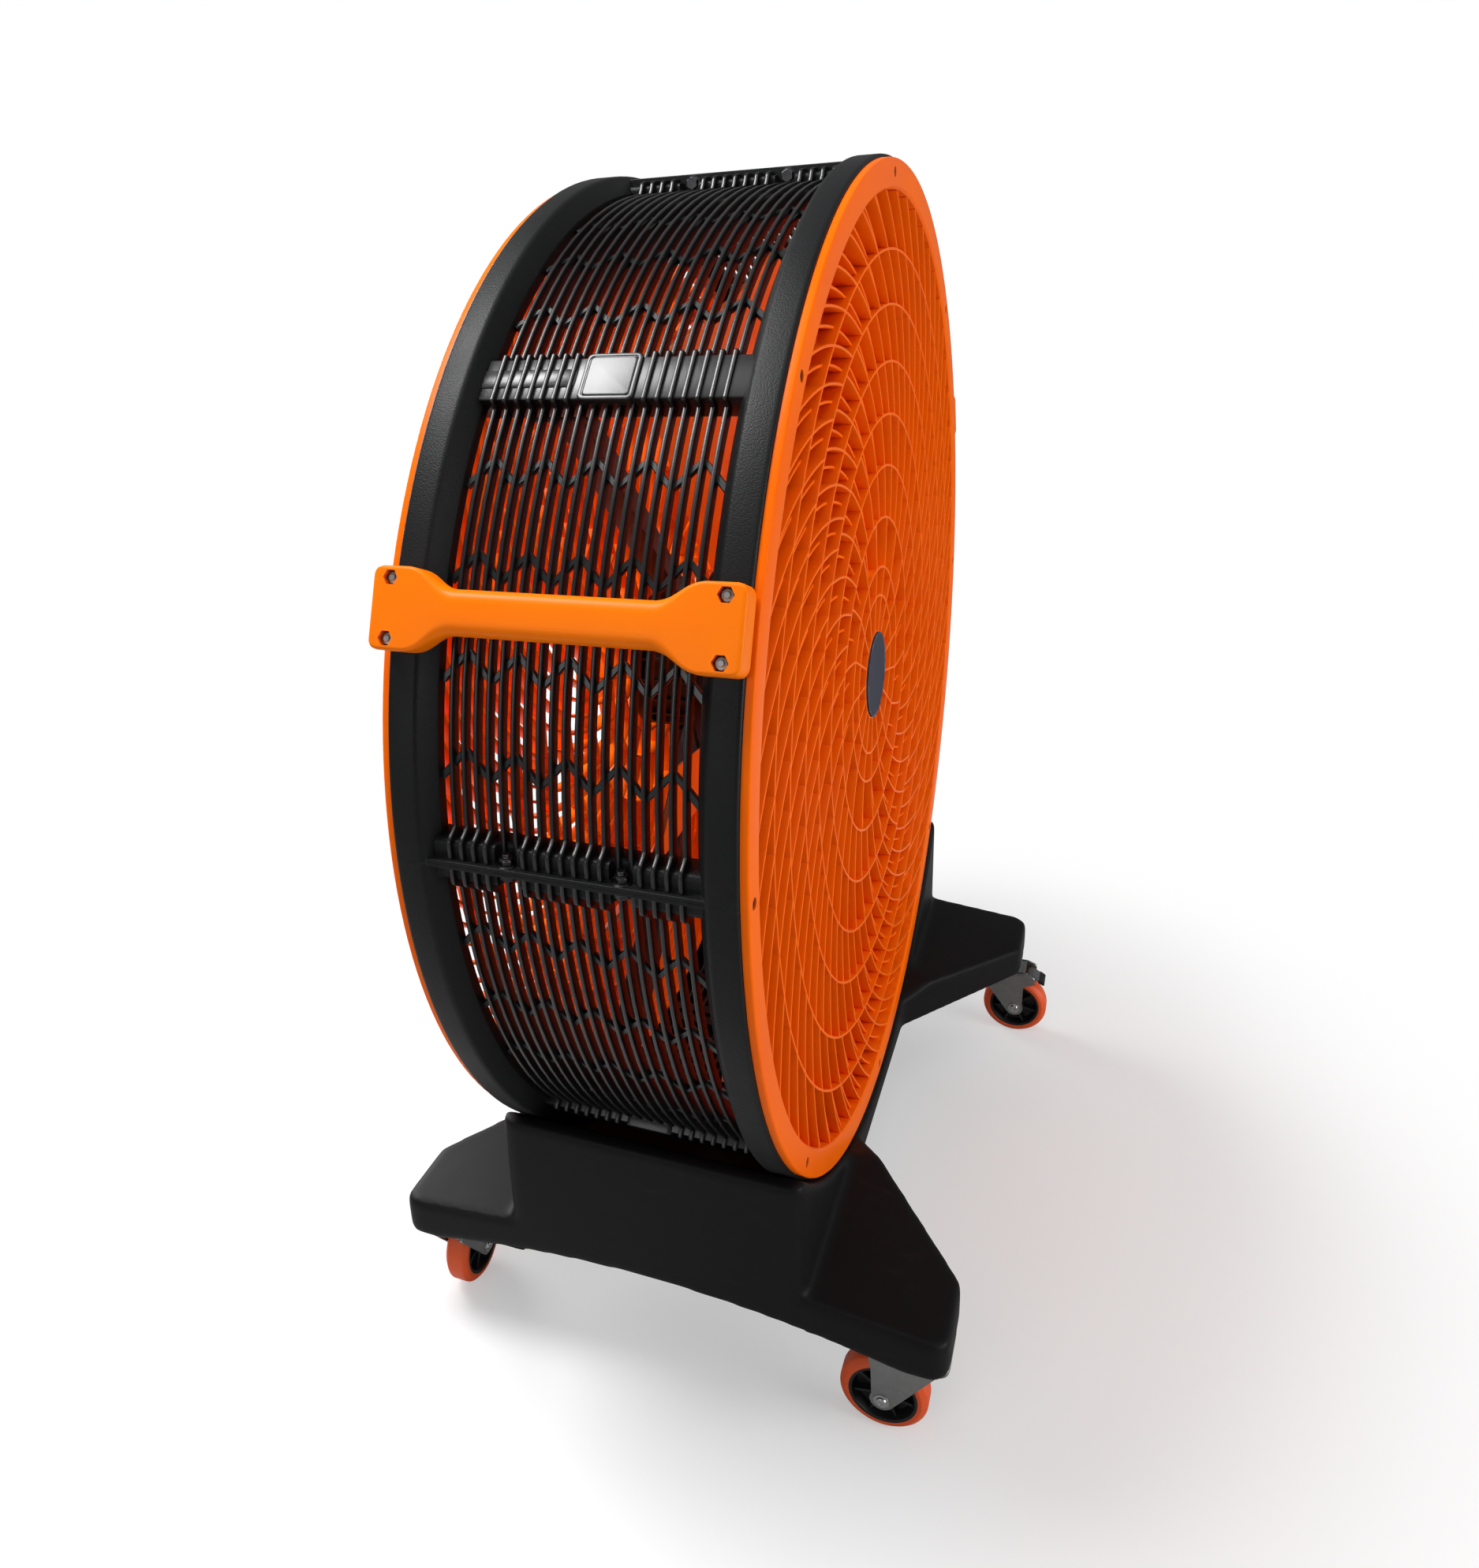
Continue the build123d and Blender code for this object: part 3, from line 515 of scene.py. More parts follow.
def threadShape(radius, low, high, pitch):  # rod with the grooves of its thread
    outline = [(0.0, low), (radius, low)]
    height = low + pitch / 2
    while height < high - pitch:
        outline += [(radius, height), (radius - 0.55 * pitch, height + pitch / 2)]
        height += pitch
    outline += [(radius, high - pitch / 2), (radius - pitch / 2, high), (0.0, high)]
    return spinShape(outline, 20)


def movedShape(shape, matrix):
    return [tuple(matrix @ Vector(point)) for point in shape[0]], shape[1]


def joinedShape(shapes):
    points, faces = [], []
    for shape in shapes:
        base = len(points)
        points.extend(shape[0])
        faces.extend(tuple(base + index for index in face) for face in shape[1])
    return points, faces


def aboutFan(angle):  # counter-clockwise seen from the front, then lifted to the fan axis
    return Matrix.Translation((0, 0, fanAxis)) @ Matrix.Rotation(math.radians(-angle), 4, "Y")


def shift(x, y, z):
    return Matrix.Translation((x, y, z))


def mirroredShape(shape, axis):
    matrix = Matrix.Identity(4)
    matrix[axis][axis] = -1
    points = movedShape(shape, matrix)[0]
    return points, [tuple(reversed(face)) for face in shape[1]]


def meshOf(name, shape):
    mesh = bpy.data.meshes.new(name)
    mesh.from_pydata([tuple(value * mm for value in point) for point in shape[0]], [], shape[1])
    tidyMesh(mesh)
    return mesh


def tidyMesh(mesh):
    work = bmesh.new()
    work.from_mesh(mesh)
    bmesh.ops.remove_doubles(work, verts=work.verts, dist=1e-6)
    bmesh.ops.recalc_face_normals(work, faces=work.faces)
    work.to_mesh(mesh)
    work.free()


def placedCopy(mesh, place):  # the place is in millimetres
    copy = mesh.copy()
    metres = place.copy()
    metres.translation *= mm
    copy.transform(metres)
    return copy


def titleOf(name):  # a node's name in camelCase
    first, *rest = name.split("_")
    return first + "".join(word.capitalize() for word in rest)


def finishPiece(mesh, name, finish, body="frame", replaced=(), sharp=35.0):
    mesh.polygons.foreach_set("use_smooth", [True] * len(mesh.polygons))
    mesh.set_sharp_from_angle(angle=math.radians(sharp))
    mesh.materials.clear()
    mesh.materials.append(finishes[finish])
    piece = bpy.data.objects.new(name, mesh)
    bpy.context.scene.collection.objects.link(piece)
    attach(piece, body)
    if replaced:
        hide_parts(*replaced)


def runTree(mesh, layers):  # a mesh put through geometry node trees, returned as a plain mesh
    holder = bpy.data.objects.new("treeHolder", mesh)
    bpy.context.scene.collection.objects.link(holder)
    for tree, values in layers:
        modifier = holder.modifiers.new(tree.name, "NODES")
        modifier.node_group = tree
        for item in tree.interface.items_tree:
            if item.item_type == "SOCKET" and item.in_out == "INPUT" and item.name in values:
                modifier[item.identifier] = values[item.name]
    bpy.context.view_layer.update()
    graph = bpy.context.evaluated_depsgraph_get()
    made = bpy.data.meshes.new_from_object(holder.evaluated_get(graph))
    bpy.data.objects.remove(holder)
    return made


def carveMesh(mesh, cutter):  # the mesh less the cutter's shape
    tool = bpy.data.objects.new("carveTool", meshOf("carveTool", cutter))
    holder = bpy.data.objects.new("carveBlank", mesh)
    for thing in (tool, holder):
        bpy.context.scene.collection.objects.link(thing)
    cut = holder.modifiers.new("carve", "BOOLEAN")
    cut.operation = "DIFFERENCE"
    cut.object = tool
    cut.solver = "EXACT"
    bpy.context.view_layer.update()
    carved = bpy.data.meshes.new_from_object(holder.evaluated_get(bpy.context.evaluated_depsgraph_get()))
    for thing in (tool, holder):
        bpy.data.objects.remove(thing)
    return carved


def joinMeshes(name, meshes):
    work = bmesh.new()
    for mesh in meshes:
        work.from_mesh(mesh)
    joined = bpy.data.meshes.new(name)
    work.to_mesh(joined)
    work.free()
    return joined


# Geometry node trees

def closeTree(tree, geometry, material, out, joinWith=None):
    solid = addFlow(tree, "GeometryNodeRealizeInstances", {0: geometry})
    coated = addFlow(tree, "GeometryNodeSetMaterial", {"Geometry": solid, "Material": material})
    if joinWith is not None:
        both = tree.nodes.new("GeometryNodeJoinGeometry")
        tree.links.new(coated, both.inputs[0])
        tree.links.new(joinWith, both.inputs[0])
        coated = both.outputs[0]
    tree.links.new(coated, out["Geometry"])


def edgeProfile(tree, thickness, depth, rounding):  # rounded bar section hanging below its path
    sides = {"Width": thickness, "Height": depth}
    bar = addNode(tree, "GeometryNodeCurvePrimitiveQuadrilateral", sides, mode="RECTANGLE")
    rounds = {"Curve": bar.outputs[0], "Radius": rounding, "Count": 2}
    soft = addFlow(tree, "GeometryNodeFilletCurve", rounds, mode="POLY")
    drop = addFlow(tree, "ShaderNodeCombineXYZ", {"Y": reckon(tree, "MULTIPLY", depth, 0.5)})
    return addFlow(tree, "GeometryNodeTransform", {"Geometry": soft, "Translation": drop})


def dishHeight(tree, radius, given):  # the face falls in a cone from the ring to the hub
    inward = reckon(tree, "SUBTRACT", given["Rim radius"], radius)
    fall = reckon(tree, "MULTIPLY", inward, given["Cone slope"])
    total = reckon(tree, "ADD", fall, given["Set back"])
    return reckon(tree, "MULTIPLY", total, -1.0)


def faceFront(tree, geometry, given):  # from lying flat about Z to the fan axis, front or back
    place = {"Rotation": (math.pi / 2, 0.0, 0.0), "Translation": (0.0, frontFace * mm, fanAxis * mm)}
    upright = addFlow(tree, "GeometryNodeTransform", {"Geometry": geometry, **place})
    turn = addFlow(tree, "ShaderNodeCombineXYZ", {"Z": given["Facing"]})
    return addFlow(tree, "GeometryNodeTransform", {"Geometry": upright, "Rotation": turn})


def spunCopies(tree, shape, count, centre, turn):  # copies at one spot, each with its own turn
    posts = addFlow(tree, "GeometryNodePoints", {"Count": count, "Position": centre})
    feeds = {"Points": posts, "Instance": shape, "Rotation": turn}
    return addFlow(tree, "GeometryNodeInstanceOnPoints", feeds)


def sweptProfile(tree, path, profile):
    feeds = {"Curve": path, "Profile Curve": profile, "Fill Caps": True}
    return addFlow(tree, "GeometryNodeCurveToMesh", feeds)


sweptInputs = {
    "Geometry": ("Geometry", None),
    "Thickness": ("Float", 0.003),
    "Depth": ("Float", 0.025),
    "Rounding": ("Float", 0.001),
    "Set back": ("Float", 0.0026),
    "Cone slope": ("Float", 0.0233),
    "Rim radius": ("Float", 0.568),
    "Facing": ("Float", 0.0),
    "Material": ("Material", None),
}


def makeBladeTree():
    inputs = {
        **sweptInputs,
        "Count": ("Int", 17),
        "Outer radius": ("Float", 0.5),
        "Inner radius": ("Float", 0.4),
        "Sweep": ("Float", 0.15),
        "Lead": ("Float", 0.0),
    }
    tree, given, out = startGroup("swirlBlades", "GeometryNodeTree", inputs, {"Geometry": "Geometry"})
    line = addFlow(tree, "GeometryNodeCurvePrimitiveLine", {"End": (1.0, 0.0, 0.0)})
    path = addFlow(tree, "GeometryNodeResampleCurve", {"Curve": line, "Count": 6})
    spot = addFlow(tree, "GeometryNodeInputPosition")
    along = addNode(tree, "ShaderNodeSeparateXYZ", {0: spot}).outputs["X"]
    span = reckon(tree, "SUBTRACT", given["Inner radius"], given["Outer radius"])
    radius = reckon(tree, "MULTIPLY_ADD", along, span, given["Outer radius"])
    back = reckon(tree, "MULTIPLY", given["Sweep"], -1.0)
    angle = reckon(tree, "MULTIPLY", along, back)
    x = reckon(tree, "MULTIPLY", radius, reckon(tree, "COSINE", angle))
    y = reckon(tree, "MULTIPLY", radius, reckon(tree, "SINE", angle))
    place = addFlow(tree, "ShaderNodeCombineXYZ", {"X": x, "Y": y, "Z": dishHeight(tree, radius, given)})
    swept = addFlow(tree, "GeometryNodeSetPosition", {"Geometry": path, "Position": place})
    level = addFlow(tree, "GeometryNodeSetCurveNormal", {"Curve": swept}, mode="Z_UP")
    profile = edgeProfile(tree, given["Thickness"], given["Depth"], given["Rounding"])
    blade = sweptProfile(tree, level, profile)
    number = addFlow(tree, "GeometryNodeInputIndex")
    step = reckon(tree, "DIVIDE", 2 * math.pi, given["Count"])
    turn = reckon(tree, "MULTIPLY_ADD", number, step, given["Lead"])
    spin = addFlow(tree, "ShaderNodeCombineXYZ", {"Z": turn})
    copies = spunCopies(tree, blade, given["Count"], (0.0, 0.0, 0.0), spin)
    closeTree(tree, faceFront(tree, copies, given), given["Material"], out, given["Geometry"])
    return tree


def makeCircleTree():
    inputs = {**sweptInputs, "Radius": ("Float", 0.4), "Sides": ("Int", 128)}
    tree, given, out = startGroup("swirlCircle", "GeometryNodeTree", inputs, {"Geometry": "Geometry"})
    sizes = {"Resolution": given["Sides"], "Radius": given["Radius"]}
    circle = addFlow(tree, "GeometryNodeCurvePrimitiveCircle", sizes)
    lift = addFlow(tree, "ShaderNodeCombineXYZ", {"Z": dishHeight(tree, given["Radius"], given)})
    placed = addFlow(tree, "GeometryNodeSetPosition", {"Geometry": circle, "Offset": lift})
    level = addFlow(tree, "GeometryNodeSetCurveNormal", {"Curve": placed}, mode="Z_UP")
    profile = edgeProfile(tree, given["Thickness"], given["Depth"], given["Rounding"])
    wall = addFlow(tree, "GeometryNodeCurveToMesh", {"Curve": level, "Profile Curve": profile})
    closeTree(tree, faceFront(tree, wall, given), given["Material"], out, given["Geometry"])
    return tree


def makeRowTree():  # copies of a mesh in a straight row
    inputs = {
        "Geometry": ("Geometry", None),
        "Count": ("Int", 4),
        "Start": ("Vector", (0.0, 0.0, 0.0)),
        "Step": ("Vector", (0.0, 0.01, 0.0)),
        "Material": ("Material", None),
    }
    tree, given, out = startGroup("evenRow", "GeometryNodeTree", inputs, {"Geometry": "Geometry"})
    spots = {"Count": given["Count"], "Start Location": given["Start"], "Offset": given["Step"]}
    row = addFlow(tree, "GeometryNodeMeshLine", spots, mode="OFFSET")
    copies = addFlow(tree, "GeometryNodeInstanceOnPoints", {"Points": row, "Instance": given["Geometry"]})
    closeTree(tree, copies, given["Material"], out)
    return tree


def makeTurnTree():  # copies of a mesh turned about an axis
    inputs = {
        "Geometry": ("Geometry", None),
        "Count": ("Int", 8),
        "Axis": ("Vector", (0.0, 1.0, 0.0)),
        "Centre": ("Vector", (0.0, 0.0, 0.0)),
        "Step": ("Float", 0.0),
        "Material": ("Material", None),
    }
    tree, given, out = startGroup("evenTurn", "GeometryNodeTree", inputs, {"Geometry": "Geometry"})
    number = addFlow(tree, "GeometryNodeInputIndex")
    turn = reckon(tree, "MULTIPLY", number, given["Step"])
    spin = addFlow(tree, "FunctionNodeAxisAngleToRotation", {"Axis": given["Axis"], "Angle": turn})
    copies = spunCopies(tree, given["Geometry"], given["Count"], given["Centre"], spin)
    closeTree(tree, copies, given["Material"], out)
    return tree


def makeZigzagTree():  # webs that zigzag across a row of ribs, one row after another about the fan axis
    inputs = {
        "Geometry": ("Geometry", None),
        "Ribs": ("Int", 20),
        "Pitch": ("Float", 0.01256),
        "Swing": ("Float", 0.014),
        "Radius": ("Float", 0.578),
        "Rows": ("Int", 4),
        "First row": ("Float", 0.157),
        "Row step": ("Float", 0.157),
        "Width": ("Float", 0.005),
        "Thickness": ("Float", 0.006),
        "Material": ("Material", None),
    }
    tree, given, out = startGroup("zigzagWebs", "GeometryNodeTree", inputs, {"Geometry": "Geometry"})
    spots = {"Count": given["Ribs"], "Offset": (0.0, 1.0, 0.0)}
    line = addFlow(tree, "GeometryNodeMeshLine", spots, mode="OFFSET")
    number = addFlow(tree, "GeometryNodeInputIndex")
    middle = reckon(tree, "MULTIPLY_ADD", given["Ribs"], 0.5, -0.5)
    rib = reckon(tree, "SUBTRACT", number, middle)
    depth = reckon(tree, "MULTIPLY", rib, given["Pitch"])
    wave = reckon(tree, "COSINE", reckon(tree, "MULTIPLY", rib, math.pi / 2))
    side = reckon(tree, "MULTIPLY", wave, given["Swing"])
    place = addFlow(tree, "ShaderNodeCombineXYZ", {"X": given["Radius"], "Y": depth, "Z": side})
    zigzag = addFlow(tree, "GeometryNodeSetPosition", {"Geometry": line, "Position": place})
    path = addFlow(tree, "GeometryNodeMeshToCurve", {0: zigzag})
    sides = {"Width": given["Width"], "Height": given["Thickness"]}
    profile = addFlow(tree, "GeometryNodeCurvePrimitiveQuadrilateral", sides, mode="RECTANGLE")
    soft = addFlow(tree, "GeometryNodeFilletCurve", {"Curve": profile, "Radius": 0.0009}, mode="POLY")
    across = addFlow(tree, "GeometryNodeInputTangent")
    pair = {0: across, 1: (1.0, 0.0, 0.0)}
    outward = addFlow(tree, "ShaderNodeVectorMath", pair, operation="CROSS_PRODUCT")
    upright = addNode(tree, "GeometryNodeSetCurveNormal", {"Curve": path, "Normal": outward}, mode="FREE")
    web = sweptProfile(tree, upright.outputs[0], soft)
    row = addFlow(tree, "GeometryNodeInputIndex")
    turn = reckon(tree, "MULTIPLY_ADD", row, given["Row step"], given["First row"])
    spin = addFlow(tree, "ShaderNodeCombineXYZ", {"Y": reckon(tree, "MULTIPLY", turn, -1.0)})
    copies = spunCopies(tree, web, given["Rows"], (0.0, 0.0, 0.0), spin)
    closeTree(tree, copies, given["Material"], out, given["Geometry"])
    return tree


trees = {
    "blades": makeBladeTree(),
    "circle": makeCircleTree(),
    "row": makeRowTree(),
    "turn": makeTurnTree(),
    "zigzag": makeZigzagTree(),
}
print("node trees made:", len(trees))


def turnedCopies(mesh, count, finish, **settings):  # about the fan axis unless the settings say otherwise
    sizes = {"Count": count, "Step": math.radians(360 / count), "Centre": (0.0, 0.0, fanAxis * mm)}
    sizes["Material"] = finishes[finish]
    return runTree(mesh, [(trees["turn"], {**sizes, **settings})])


# Grilles

frontGrille = {
    "edges": (568.0, 506.0, 446.0, 382.0, 321.0, 260.0, 197.0, 135.5, 100.0, 54.0),
    "sweeps": (8.75, 8.25, 7.75, 7.25, 7.0, 6.0, 5.5, 0.0, 0.0),
    "counts": (57, 57, 54, 54, 35, 35, 17, 17, 17),
    # degrees where each group of blades meets its outer circle
    "groupLeads": {0: 238.75, 2: 245.25, 4: 246.75, 6: 245.0},
    "halfway": (1, 1, 1, 1, 1, 1, 1, 0, 0),
    "halfwaySetBack": 6.0,
    "depth": 25.0,
    "wire": 3.0,
    "rimOverlap": 1.5,  # the outermost circle reaches this far into the ring
    "rimDeeper": 3.0,
    "rounding": 0.9,
    "setBack": 2.6,
    "coneSlope": 12.0 / 514.0,
    "ringOuter": 600.0,
    "ringBack": -167.0,
    "screwRadius": 585.0,
    "screwCount": 8,
    "recessRadius": 5.7,
    "recessFloor": -171.7,
    "hubFace": -160.4,
    "hubPlate": 4.0,
    "facing": 0.0,
}
rearGrille = {**frontGrille, "depth": 22.0, "facing": math.pi}
badge = {"radius": 54.0, "back": -160.4, "thickness": 3.0, "lip": 1.6}


def grilleLayers(values, finish):
    shared = {
        "Rounding": values["rounding"] * mm,
        "Cone slope": values["coneSlope"],
        "Rim radius": values["edges"][0] * mm,
        "Facing": values["facing"],
        "Thickness": values["wire"] * mm,
        "Material": finish,
    }
    layers = []
    for index, radius in enumerate(values["edges"]):
        outermost = index == 0
        own = {
            "Radius": (radius + (values["rimOverlap"] if outermost else 0)) * mm,
            "Depth": (values["depth"] + (values["rimDeeper"] if outermost else 0)) * mm,
            "Set back": values["setBack"] * mm,
            "Sides": 160 if radius > 300 else 96,
        }
        layers.append((trees["circle"], {**shared, **own}))
    lead = 0.0
    for band, sweep in enumerate(values["sweeps"]):
        lead = values["groupLeads"].get(band, lead)
        bandSizes = {
            "Outer radius": values["edges"][band] * mm,
            "Inner radius": values["edges"][band + 1] * mm,
            "Sweep": math.radians(sweep),
            "Count": values["counts"][band],
        }
        for half in range(1 + values["halfway"][band]):
            back = half * values["halfwaySetBack"]
            turn = lead + half * 180.0 / values["counts"][band]
            own = {
                "Lead": math.radians(turn),
                "Set back": (values["setBack"] + back) * mm,
                "Depth": (values["depth"] - back) * mm,
            }
            layers.append((trees["blades"], {**shared, **bandSizes, **own}))
        lead -= sweep
    return layers


def makeGrille(name, values, node):
    inner, outer, back = values["edges"][0], values["ringOuter"], values["ringBack"]
    ring = softOutline([
        (inner, frontFace + values["setBack"], 0.6), (inner + values["setBack"], frontFace, 1.2),
        (outer, frontFace, 2.4), (outer, back, 0.5), (inner, back, 0.0),
    ])
    turn = Matrix.Rotation(values["facing"], 4, "Z") @ shift(0, 0, fanAxis)
    hub, face, low = values["edges"][-1], values["hubFace"], values["hubFace"] + values["hubPlate"]
    plate = softOutline([(0.0, face, 0.0), (hub, face, 0.0), (hub, low, 0.8), (0.0, low, 0.0)])
    wide, floor = values["recessRadius"], values["recessFloor"]
    recess = latheShape([(0.0, frontFace - 1), (wide, frontFace - 1), (wide, floor), (0.0, floor)], 24)
    recesses = []
    for index in range(values["screwCount"]):
        spin = Matrix.Rotation(math.radians(360 / values["screwCount"] * index), 4, "Y")
        recesses.append(movedShape(recess, turn @ spin @ shift(values["screwRadius"], 0, 0)))
    rim = carveMesh(meshOf(name, movedShape(latheShape(ring, 192), turn)), joinedShape(recesses))
    mesh = joinMeshes(name, [rim, meshOf("hubPlate", movedShape(latheShape(plate, 48), turn))])
    mesh.materials.append(finishes["grilleOrange"])
    mesh = runTree(mesh, grilleLayers(values, finishes["grilleOrange"]))
    tidyMesh(mesh)
    finishPiece(mesh, name, "grilleOrange", replaced=(node,), sharp=38.0)


ringScrew = {"radius": 4.7, "rise": 2.1, "slotHalf": 0.55, "slotReach": 2.7}


def makeRingScrews(name, values, screw, node):  # pan heads with a cross recess, sunk in the ring
    seat, radius = values["recessFloor"], screw["radius"]
    face = seat - screw["rise"]
    corners = [(0.0, seat, 0.0), (radius, seat, 0.0), (radius, face, 1.4), (0.0, face - 0.4, 0.0)]
    mesh = meshOf("screwHead", latheShape(softOutline(corners, 4), 28))
    thin, wide = screw["slotHalf"], screw["slotReach"]
    for x, z in ((wide, thin), (thin, wide)):
        mesh = carveMesh(mesh, roundBox((-x, face - 1, -z), (x, face + 1.0, z), 0.0))
    mesh.transform(Matrix.Translation((values["screwRadius"] * mm, 0, 0)))
    mesh = turnedCopies(mesh, values["screwCount"], "darkSteel")
    mesh.transform(Matrix.Rotation(values["facing"], 4, "Z"))
    finishPiece(mesh, name, "darkSteel", replaced=(node,), sharp=30.0)


def makeBadge(values):
    radius, back = values["radius"], values["back"]
    face, edge = back - values["thickness"], radius - values["lip"]
    disc = softOutline([
        (0.0, face + 0.7, 0.0), (edge - 0.6, face + 0.7, 0.2), (edge, face, 0.3), (radius, face, 0.5),
        (radius, back, 0.0), (0.0, back, 0.0),
    ], 3)
    mesh = meshOf("hubDisc", movedShape(latheShape(disc, 72), shift(0, 0, fanAxis)))
    finishPiece(mesh, "hubDisc", "hubSlate", replaced=("hub_badge",), sharp=30.0)


makeGrille("frontSwirlGrille", frontGrille, "front_grille")
makeGrille("rearSwirlGrille", rearGrille, "rear_grille")
makeBadge(badge)
makeRingScrews("frontRingScrews", frontGrille, ringScrew, "front_grille_screws")
makeRingScrews("rearRingScrews", rearGrille, ringScrew, "rear_grille_screws")
print("grilles made")


# Drum: four equal mouldings

drum = {
    "rimRadius": 604.0,
    "rimInner": 572.0,
    "ribRadius": 583.0,
    "ribInner": 571.5,
    "ribThickness": 4.4,
    "ribPitch": 12.56,
    "ribCount": 19,
    "rimBack": 167.0,
    "landEdge": 138.0,
    "stepEdge": 125.6,
    "seamGap": 0.3,
    "flangeRadius": 600.0,
    "flangeWidth": 4.0,
    "footRadius": 596.0,
    "footStart": 33.0,
    "footTop": 21.0,
    "blockRadius": 591.0,
    "blockInner": 560.0,
    "blockWidth": 21.0,
    "blockEdge": 6.0,
    "boltRadius": 590.0,
    "boltRib": 4.5,
    "pocketRadius": 11.5,
    "barHalf": 23.5,
    "barFace": 588.0,
    "barInner": 560.0,
    "ridge": 3.8,
    "noseReach": 5.0,
    "plate": (55.0, 52.0),
    "panel": ((34.0, -10.0), (134.0, 10.0)),
    "panelBevel": 1.0,
    "webSwing": 14.0,
    "webStep": 9.0,
    "webRows": 4,
    "webWidth": 6.8,
    "webThickness": 6.0,
    "webRise": 3.2,
}


def smoothStep(share):
    share = min(1.0, max(0.0, share))
    return share * share * (3 - 2 * share)


def ribOuter(values, angle, footed):
    radius = values["ribRadius"]
    if not footed:
        return radius
    rest = math.radians(45.0 - abs(angle)) * radius
    rise = smoothStep((values["footStart"] - rest) / (values["footStart"] - values["footTop"]))
    return radius + rise * (values["footRadius"] - radius)


def ribShape(values, footed, crossing):
    angles = [-45.0 + 0.03] + [-45.0 + step for step in (0.7, 1.4, 1.9, 2.2, 2.5, 2.8, 3.2, 3.8)]
    angles += [-45.0 + 3.8 + (45.0 - 3.8 - 2.9) * step / 12 for step in range(1, 13)]
    nose = values["barHalf"] + values["noseReach"]
    backs = (-3.0, 0.0, 0.4, 1.0, 1.8, 2.8, 4.2, 9.0)
    angles += [-math.degrees(math.atan((nose - back) / values["barFace"])) for back in backs]
    angles = angles + [0.0] + [-angle for angle in reversed(angles)]
    half, inner = values["ribThickness"] / 2, values["ribInner"]
    rings = []
    for angle in angles:
        turn = math.radians(angle)
        outer = ribOuter(values, angle, footed)
        if crossing and abs(angle) < 4.0:
            across = values["barFace"] * math.tan(turn)
            share = min(1.0, max(0.0, (nose - abs(across)) / 3.0))
            lift = math.sqrt(1 - (1 - share) ** 2)
            crest = (values["barFace"] + values["ridge"]) / math.cos(turn)
            outer = outer + (crest - outer) * lift
        section = [
            (inner, -half), (outer - 1.6, -half), (outer - 0.5, -half + 0.45), (outer, -half + 1.5),
            (outer, half - 1.5), (outer - 0.5, half - 0.45), (outer - 1.6, half), (inner, half),
        ]
        rings.append(turnedRing(section, turn))
    return loftShape(rings)


def ribMeshes(values):
    runs = [(0, 4, True, True), (4, 2, False, True), (6, 1, True, True), (7, 5, True, False)]
    runs += [(12, 1, True, True), (13, 2, False, True), (15, 4, True, True)]
    shared = {"Step": (0.0, values["ribPitch"] * mm, 0.0), "Material": finishes["ribBlack"]}
    meshes = []
    for first, count, footed, crossing in runs:
        start = (first - (values["ribCount"] - 1) / 2) * values["ribPitch"]
        own = {"Count": count, "Start": (0.0, start * mm, 0.0)}
        mesh = meshOf("rib", ribShape(values, footed, crossing))
        meshes.append(runTree(mesh, [(trees["row"], {**shared, **own})]))
    return meshes


def atSeam(radius, offset):  # across and up, for a radius along the seam and an offset square to it
    cos, sin = math.cos(math.radians(45.0)), math.sin(math.radians(45.0))
    return radius * cos - offset * sin, radius * sin + offset * cos


def seamOutline(values, top, width, nearEdge, farEdge):  # width is measured back from the seam
    inner, near = values["blockInner"], -values["seamGap"] / 2
    corners = [(inner, near, 0.0), (top, near, nearEdge), (top, -width, farEdge), (inner, -width, 0.0)]
    return [atSeam(radius, offset) for radius, offset in softOutline(corners)]


def blockShape(values):  # clamping block behind a flange, with a round pocket at each bolt
    bolt = (values["ribCount"] - 1) / 2 * values["ribPitch"] - values["boltRib"] * values["ribPitch"]
    pocket = values["pocketRadius"]
    reach = values["stepEdge"] + 8
    shares = (-1.25, -1.0, -0.94, -0.8, -0.6, -0.3, 0.0, 0.3, 0.6, 0.8, 0.94, 1.0, 1.25)
    spots = {side * bolt + pocket * share for side in (-1, 1) for share in shares}
    rings = []
    for depth in sorted({-reach, reach, 0.0} | spots):
        off = min(abs(depth - bolt), abs(depth + bolt))
        top = values["blockRadius"]
        if off < pocket:
            top = min(top, values["boltRadius"] - math.sqrt(pocket**2 - off**2))
        outline = seamOutline(values, top, values["blockWidth"], 0.0, values["blockEdge"])
        rings.append([(x, depth, z) for x, z in outline])
    return loftShape(rings)


def flangeShape(values):
    outline = seamOutline(values, values["flangeRadius"], values["flangeWidth"], 0.6, 1.2)
    return prismShape(outline, -values["landEdge"] + 1, values["landEdge"] - 1)


def rimShape(values):
    back, land, step = -values["rimBack"], -values["landEdge"], -values["stepEdge"]
    outer, rib, inner = values["rimRadius"], values["ribRadius"], values["ribInner"]
    outline = softOutline([
        (values["rimInner"], back, 0.0), (outer, back, 4.5), (outer, land, 7.0), (rib + 0.5, step, 3.0),
        (inner, step, 1.0), (inner, step - 3, 1.0), (rib - 6, step - 4, 2.0), (outer - 9, land - 3, 3.0),
        (outer - 9, back + 8, 2.0), (values["rimInner"], back + 8, 0.0),
    ], 4)
    trim = math.degrees(values["seamGap"] / 2 / values["rimRadius"])
    return latheShape(outline, 48, -45.0 + trim, 90.0 - 2 * trim)


